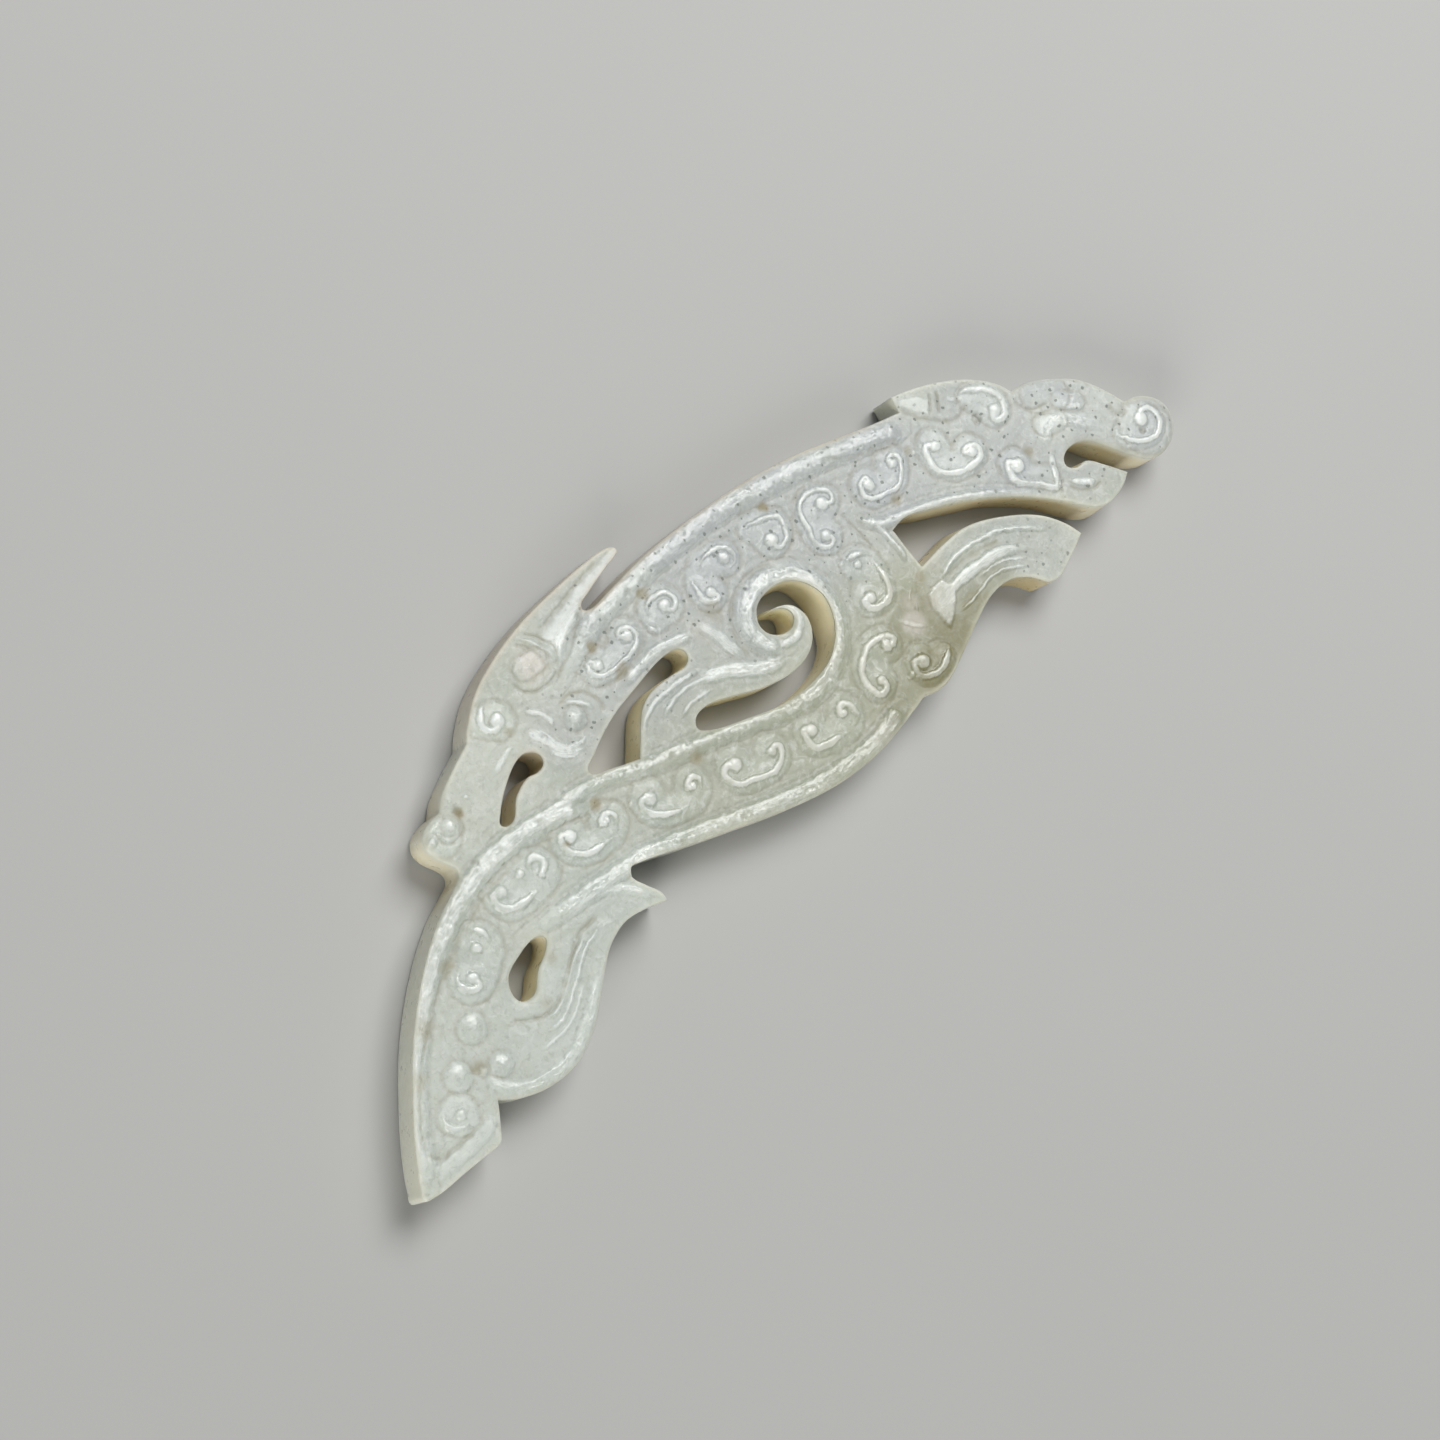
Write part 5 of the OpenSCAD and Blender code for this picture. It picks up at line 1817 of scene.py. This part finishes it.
    def stone(self, bench: Bench, mm: Wire, wisp: Wire, cloud: Wire) -> Wire:
        """Mix the stone's colour from its zones, clouds and wisps, the aqua zone lightened as painted light.

        Args:
            bench: The material's bench.
            mm: The coordinates in millimetres.
            wisp: A fine noise.
            cloud: A broad noise.

        Returns:
            The colour.
        """
        sway = wisp - 0.5
        tone = bench.tint(bench.step(cloud + sway * 0.3, *self.cream_levels), self.celadon, self.cream)
        for name, share in self.zones:
            there = bench.clamp(bench.mask(name) * (share + sway * 0.5))
            tone = bench.tint(there, tone, getattr(self, name))
        veil = bench.step(bench.noise(mm, self.veils), *self.veil_levels)
        clear = 1 - bench.mask("olive") * self.olive_veil
        tone = bench.tint(veil * clear * self.veil_share, tone, self.milk)
        fleck = bench.step(bench.noise(mm, self.flecks), *self.fleck_levels)
        tone = bench.tint(fleck * self.fleck_share, tone, self.ash)
        return bench.tint(bench.step(wisp, *self.wisp_levels) * self.wisp_share, tone, self.cream)

    def speckle(self, bench: Bench, mm: Wire, wall: Wire, cloud: Wire) -> Wire:
        """Scatter dark grains through the bluish parts.

        Args:
            bench: The material's bench.
            mm: The coordinates in millimetres.
            wall: The mask of the walls.
            cloud: A broad noise.

        Returns:
            The share of grain at each place.
        """
        moved = bench.wire(bench.node("ShaderNodeVectorMath", {"operation": "ADD"}, {
            "Vector": mm, "Vector_001": self.speck_shift}))
        ragged = (bench.noise(moved, self.ragged) - 0.5) * self.speck_ragged
        cells = bench.node("ShaderNodeTexVoronoi", {"voronoi_dimensions": "2D"}, {
            "Vector": moved, "Scale": self.speck_cells})
        size = bench.step(bench.wire(cells, "Color"), *self.speck_levels) * self.speck_size
        grains = bench.step(size - bench.wire(cells, "Distance") + ragged, 0.0, self.speck_soft)
        return grains * bench.step(bench.mask("slate") + (cloud - 0.5), *self.speck_slate) * (1 - wall)

    def walls(self, bench: Bench, body: Wire, wisp: Wire, cloud: Wire) -> Wire:
        """Colour the rims and the walls over the stone's colour, the walls lightened as painted light and
        darkened near the back as painted shade.

        Args:
            bench: The material's bench.
            body: The colour so far.
            wisp: A fine noise.
            cloud: A broad noise.

        Returns:
            The colour.
        """
        wall, bore, rim, honey = (bench.mask(name) for name in ("wall", "bore", "rim", "honey"))
        drift = (cloud - 0.5) * 0.8
        # deep grows down each wall; the umber that it brings near the back is painted shade
        deep = wall * (1 - rim) + (wisp - 0.5) * 0.3
        sunk = bench.clamp(bore * self.umber_bore + honey * self.umber_honey) * wall
        edge = bench.clamp(wall + rim * self.edge_rim)
        for share, tone in ((rim * (self.rim_share + drift), self.sand),
                            (wall * (self.wall_share + drift), self.sand),
                            (wall * honey * bench.step(deep, *self.honey_levels), self.honey),
                            (bore * bench.step(deep, *self.amber_levels), self.amber),
                            (sunk * bench.step(deep, *self.umber_levels) * self.umber_share, self.umber),
                            # Painted shade on the walls of the jaw slot and the fin's notch
                            (wall * bench.mask("dusk") * (0.6 + wisp * 0.5), self.dusk),
                            (bench.mask("rust") * edge * (0.3 + wisp * 0.4), self.rosy)):
            body = bench.tint(bench.clamp(share), body, tone)
        return body

    def make(self) -> bpy.types.Material:
        """Build the material.

        Returns:
            The jade material.
        """
        bench = Bench("polished_jade")
        mm = bench.place()
        hollow, wall, seam, olive = (bench.mask(name) for name in ("hollow", "wall", "seam", "olive"))
        cloud, wisp, patchy, crumbs = (bench.noise(mm, mottle) for mottle in (
            self.clouds, self.wisps, self.patches, self.crumbs))
        streak = self.streaks(bench)
        specks = self.speckle(bench, mm, wall, cloud)
        stain = bench.mask("stain") * (0.7 + wisp * 0.6)
        # Hollows and seams are darkened: partly grime, partly painted shade
        grime_and_shade = bench.step(hollow + (wisp - 0.5) * 0.8, *self.grime_and_shade_levels) * self.grime_and_shade_share
        uneven = (streak - 0.5) * 1.3 + (patchy - 0.5) * 0.6 + (crumbs - 0.5) * 0.4
        # The whitened crests are painted highlights
        painted_highlight = bench.step(bench.mask("painted_highlight") + uneven, *self.highlight_levels)
        white = bench.tint(bench.clamp(bench.mask("moss") * self.white_moss), self.milk, self.ivory)
        body = self.stone(bench, mm, wisp, cloud)
        for share, tone in ((grime_and_shade + seam * (wisp - self.seam_from) * self.seam_share, self.grime_and_shade),
                            (specks * self.speck_share, self.speck),
                            (painted_highlight * (1 - olive * self.olive_highlight), white),
                            (stain * self.stain_share, self.brown)):
            body = bench.tint(bench.clamp(share), body, tone)
        body = self.walls(bench, body, wisp, cloud)
        dull = bench.step(hollow + (patchy - 0.5) * 0.9, *self.dull_levels)
        roughness = bench.clamp(self.gloss + dull * self.dullness + (streak - 0.5) * 0.25 + stain * 0.2
                                + specks * 0.2)
        height = (bench.noise(mm, self.pores) * 0.8 + bench.noise(mm, self.swells) * 2.2 + streak * 0.8
                  + crumbs * 0.5 - specks * 0.8 - stain * 0.4)
        bump = bench.wire(bench.node("ShaderNodeBump", None, {
            "Strength": self.bump_share, "Distance": self.bump, "Height": height}))
        return bench.finish(bench.node("ShaderNodeBsdfPrincipled", {"subsurface_method": "RANDOM_WALK"}, {
            "Base Color": body, "Roughness": roughness, "Normal": bump, "IOR": self.index,
            "Specular IOR Level": 0.5, "Subsurface Weight": self.glow, "Subsurface Radius": self.glow_tone,
            "Subsurface Scale": self.glow_depth}))


@dataclass(frozen=True)
class FloorFinish:
    """Matt pale board, a little darker in patches."""

    tone: Tone = (0.5, 0.5, 0.49)
    darker: float = 0.96
    mottle: Mottle = Mottle(0.02, 3.0, 0.5)
    roughness: float = 0.75
    gloss: float = 0.3

    def make(self) -> bpy.types.Material:
        """Build the material.

        Returns:
            The floor's material.
        """
        bench = Bench("pale_board")
        dark = tuple(c * self.darker for c in self.tone)
        body = bench.tint(bench.noise(bench.place(), self.mottle), dark, self.tone)
        return bench.finish(bench.node("ShaderNodeBsdfPrincipled", None, {
            "Base Color": body, "Roughness": self.roughness, "Specular IOR Level": self.gloss}))


# Studio

@dataclass(frozen=True)
class SoftBox:
    """A square soft light that a slope, leaning from the upright, mirrors into the lens."""

    name: str
    lean: float
    bearing: float
    distance: float
    size: float
    watts: float
    tone: Tone = (1.0, 1.0, 1.0)

    def place(self, to_lens: Vector, aim: Vector) -> bpy.types.Object:
        """Hang the light.

        Args:
            to_lens: The direction from the pendant to the camera.
            aim: The point that it lights.

        Returns:
            The light's object.
        """
        lean, bearing = math.radians(self.lean), math.radians(self.bearing)
        slope = Vector((math.sin(lean) * math.cos(bearing), math.sin(lean) * math.sin(bearing),
                        math.cos(lean)))
        towards = (2 * slope.dot(to_lens) * slope - to_lens).normalized()
        data = bpy.data.lights.new(self.name, "AREA")
        data.shape = "SQUARE"
        data.size = self.size
        data.energy = self.watts
        data.color = self.tone
        lamp = bpy.data.objects.new(self.name, data)
        lamp.location = aim + towards * self.distance
        lamp.rotation_euler = (-towards).to_track_quat("-Z", "Y").to_euler()
        bpy.context.scene.collection.objects.link(lamp)
        return lamp


@dataclass
class Studio:
    """The camera at the photograph's angle, the floor and the lights, in metres."""

    eye: tuple[float, float, float] = (-0.136843, 0.034925, 0.287110)
    right: tuple[float, float, float] = (0.635503, -0.668073, 0.387059)
    up: tuple[float, float, float] = (0.646726, 0.734432, 0.205803)
    back: tuple[float, float, float] = (-0.421760, 0.119533, 0.898794)
    lens: float = 85.0
    sensor: float = 36.0
    clip: tuple[float, float] = (0.01, 20.0)
    floor_half: float = 1.5
    floor_level: float = -0.00002
    aim: tuple[float, float, float] = (0.0, 0.0, 0.003)
    sky: float = 0.14
    sky_tone: Tone = (0.95, 0.97, 1.0)
    boxes: Sequence[SoftBox] = (
        SoftBox("key_box", 12.0, 74.0, 0.6, 0.38, 3.3, (1.0, 1.0, 0.99)),
        SoftBox("fill_box", 48.0, 188.0, 0.9, 0.6, 6.0, (1.0, 0.98, 0.95)),
    )

    def camera(self) -> bpy.types.Object:
        """Set the camera up as the photograph was taken.

        Returns:
            The camera's object.
        """
        data = bpy.data.cameras.new("camera")
        data.lens = self.lens
        data.sensor_width = self.sensor
        data.clip_start, data.clip_end = self.clip
        made = bpy.data.objects.new("camera", data)
        turn = Matrix((self.right, self.up, self.back)).transposed().to_4x4()
        made.matrix_world = Matrix.Translation(self.eye) @ turn
        bpy.context.scene.collection.objects.link(made)
        bpy.context.scene.camera = made
        return made

    def floor(self) -> bpy.types.Object:
        """Lay the floor, just under the pendant's back.

        Returns:
            The floor's object.
        """
        half = self.floor_half
        mesh = bpy.data.meshes.new("floor")
        corners = [(-half, -half, 0.0), (half, -half, 0.0), (half, half, 0.0), (-half, half, 0.0)]
        mesh.from_pydata(corners, [], [(0, 1, 2, 3)])
        mesh.materials.append(FloorFinish().make())
        made = bpy.data.objects.new("floor", mesh)
        made.location.z = self.floor_level
        bpy.context.scene.collection.objects.link(made)
        return made

    def light(self) -> None:
        """Hang the lights and set the even light of the room."""
        for box in self.boxes:
            box.place(Vector(self.back), Vector(self.aim))
        world = bpy.data.worlds.new("room")
        world.use_nodes = True
        room = world.node_tree.nodes["Background"]
        room.inputs["Color"].default_value = (*self.sky_tone, 1.0)
        room.inputs["Strength"].default_value = self.sky
        bpy.context.scene.world = world
        bpy.context.scene.view_settings.view_transform = "Standard"


def main() -> None:
    """Build the studio and the pendant, and report each piece."""
    logging.basicConfig(level=logging.INFO, format="%(message)s")
    studio = Studio()
    studio.camera()
    studio.floor()
    studio.light()
    plaque = Plaque().build()
    plaque.data.materials.append(JadeFinish().make())
    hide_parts("jade_plaque")
    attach(plaque, "root")


if __name__ == "__main__":
    main()
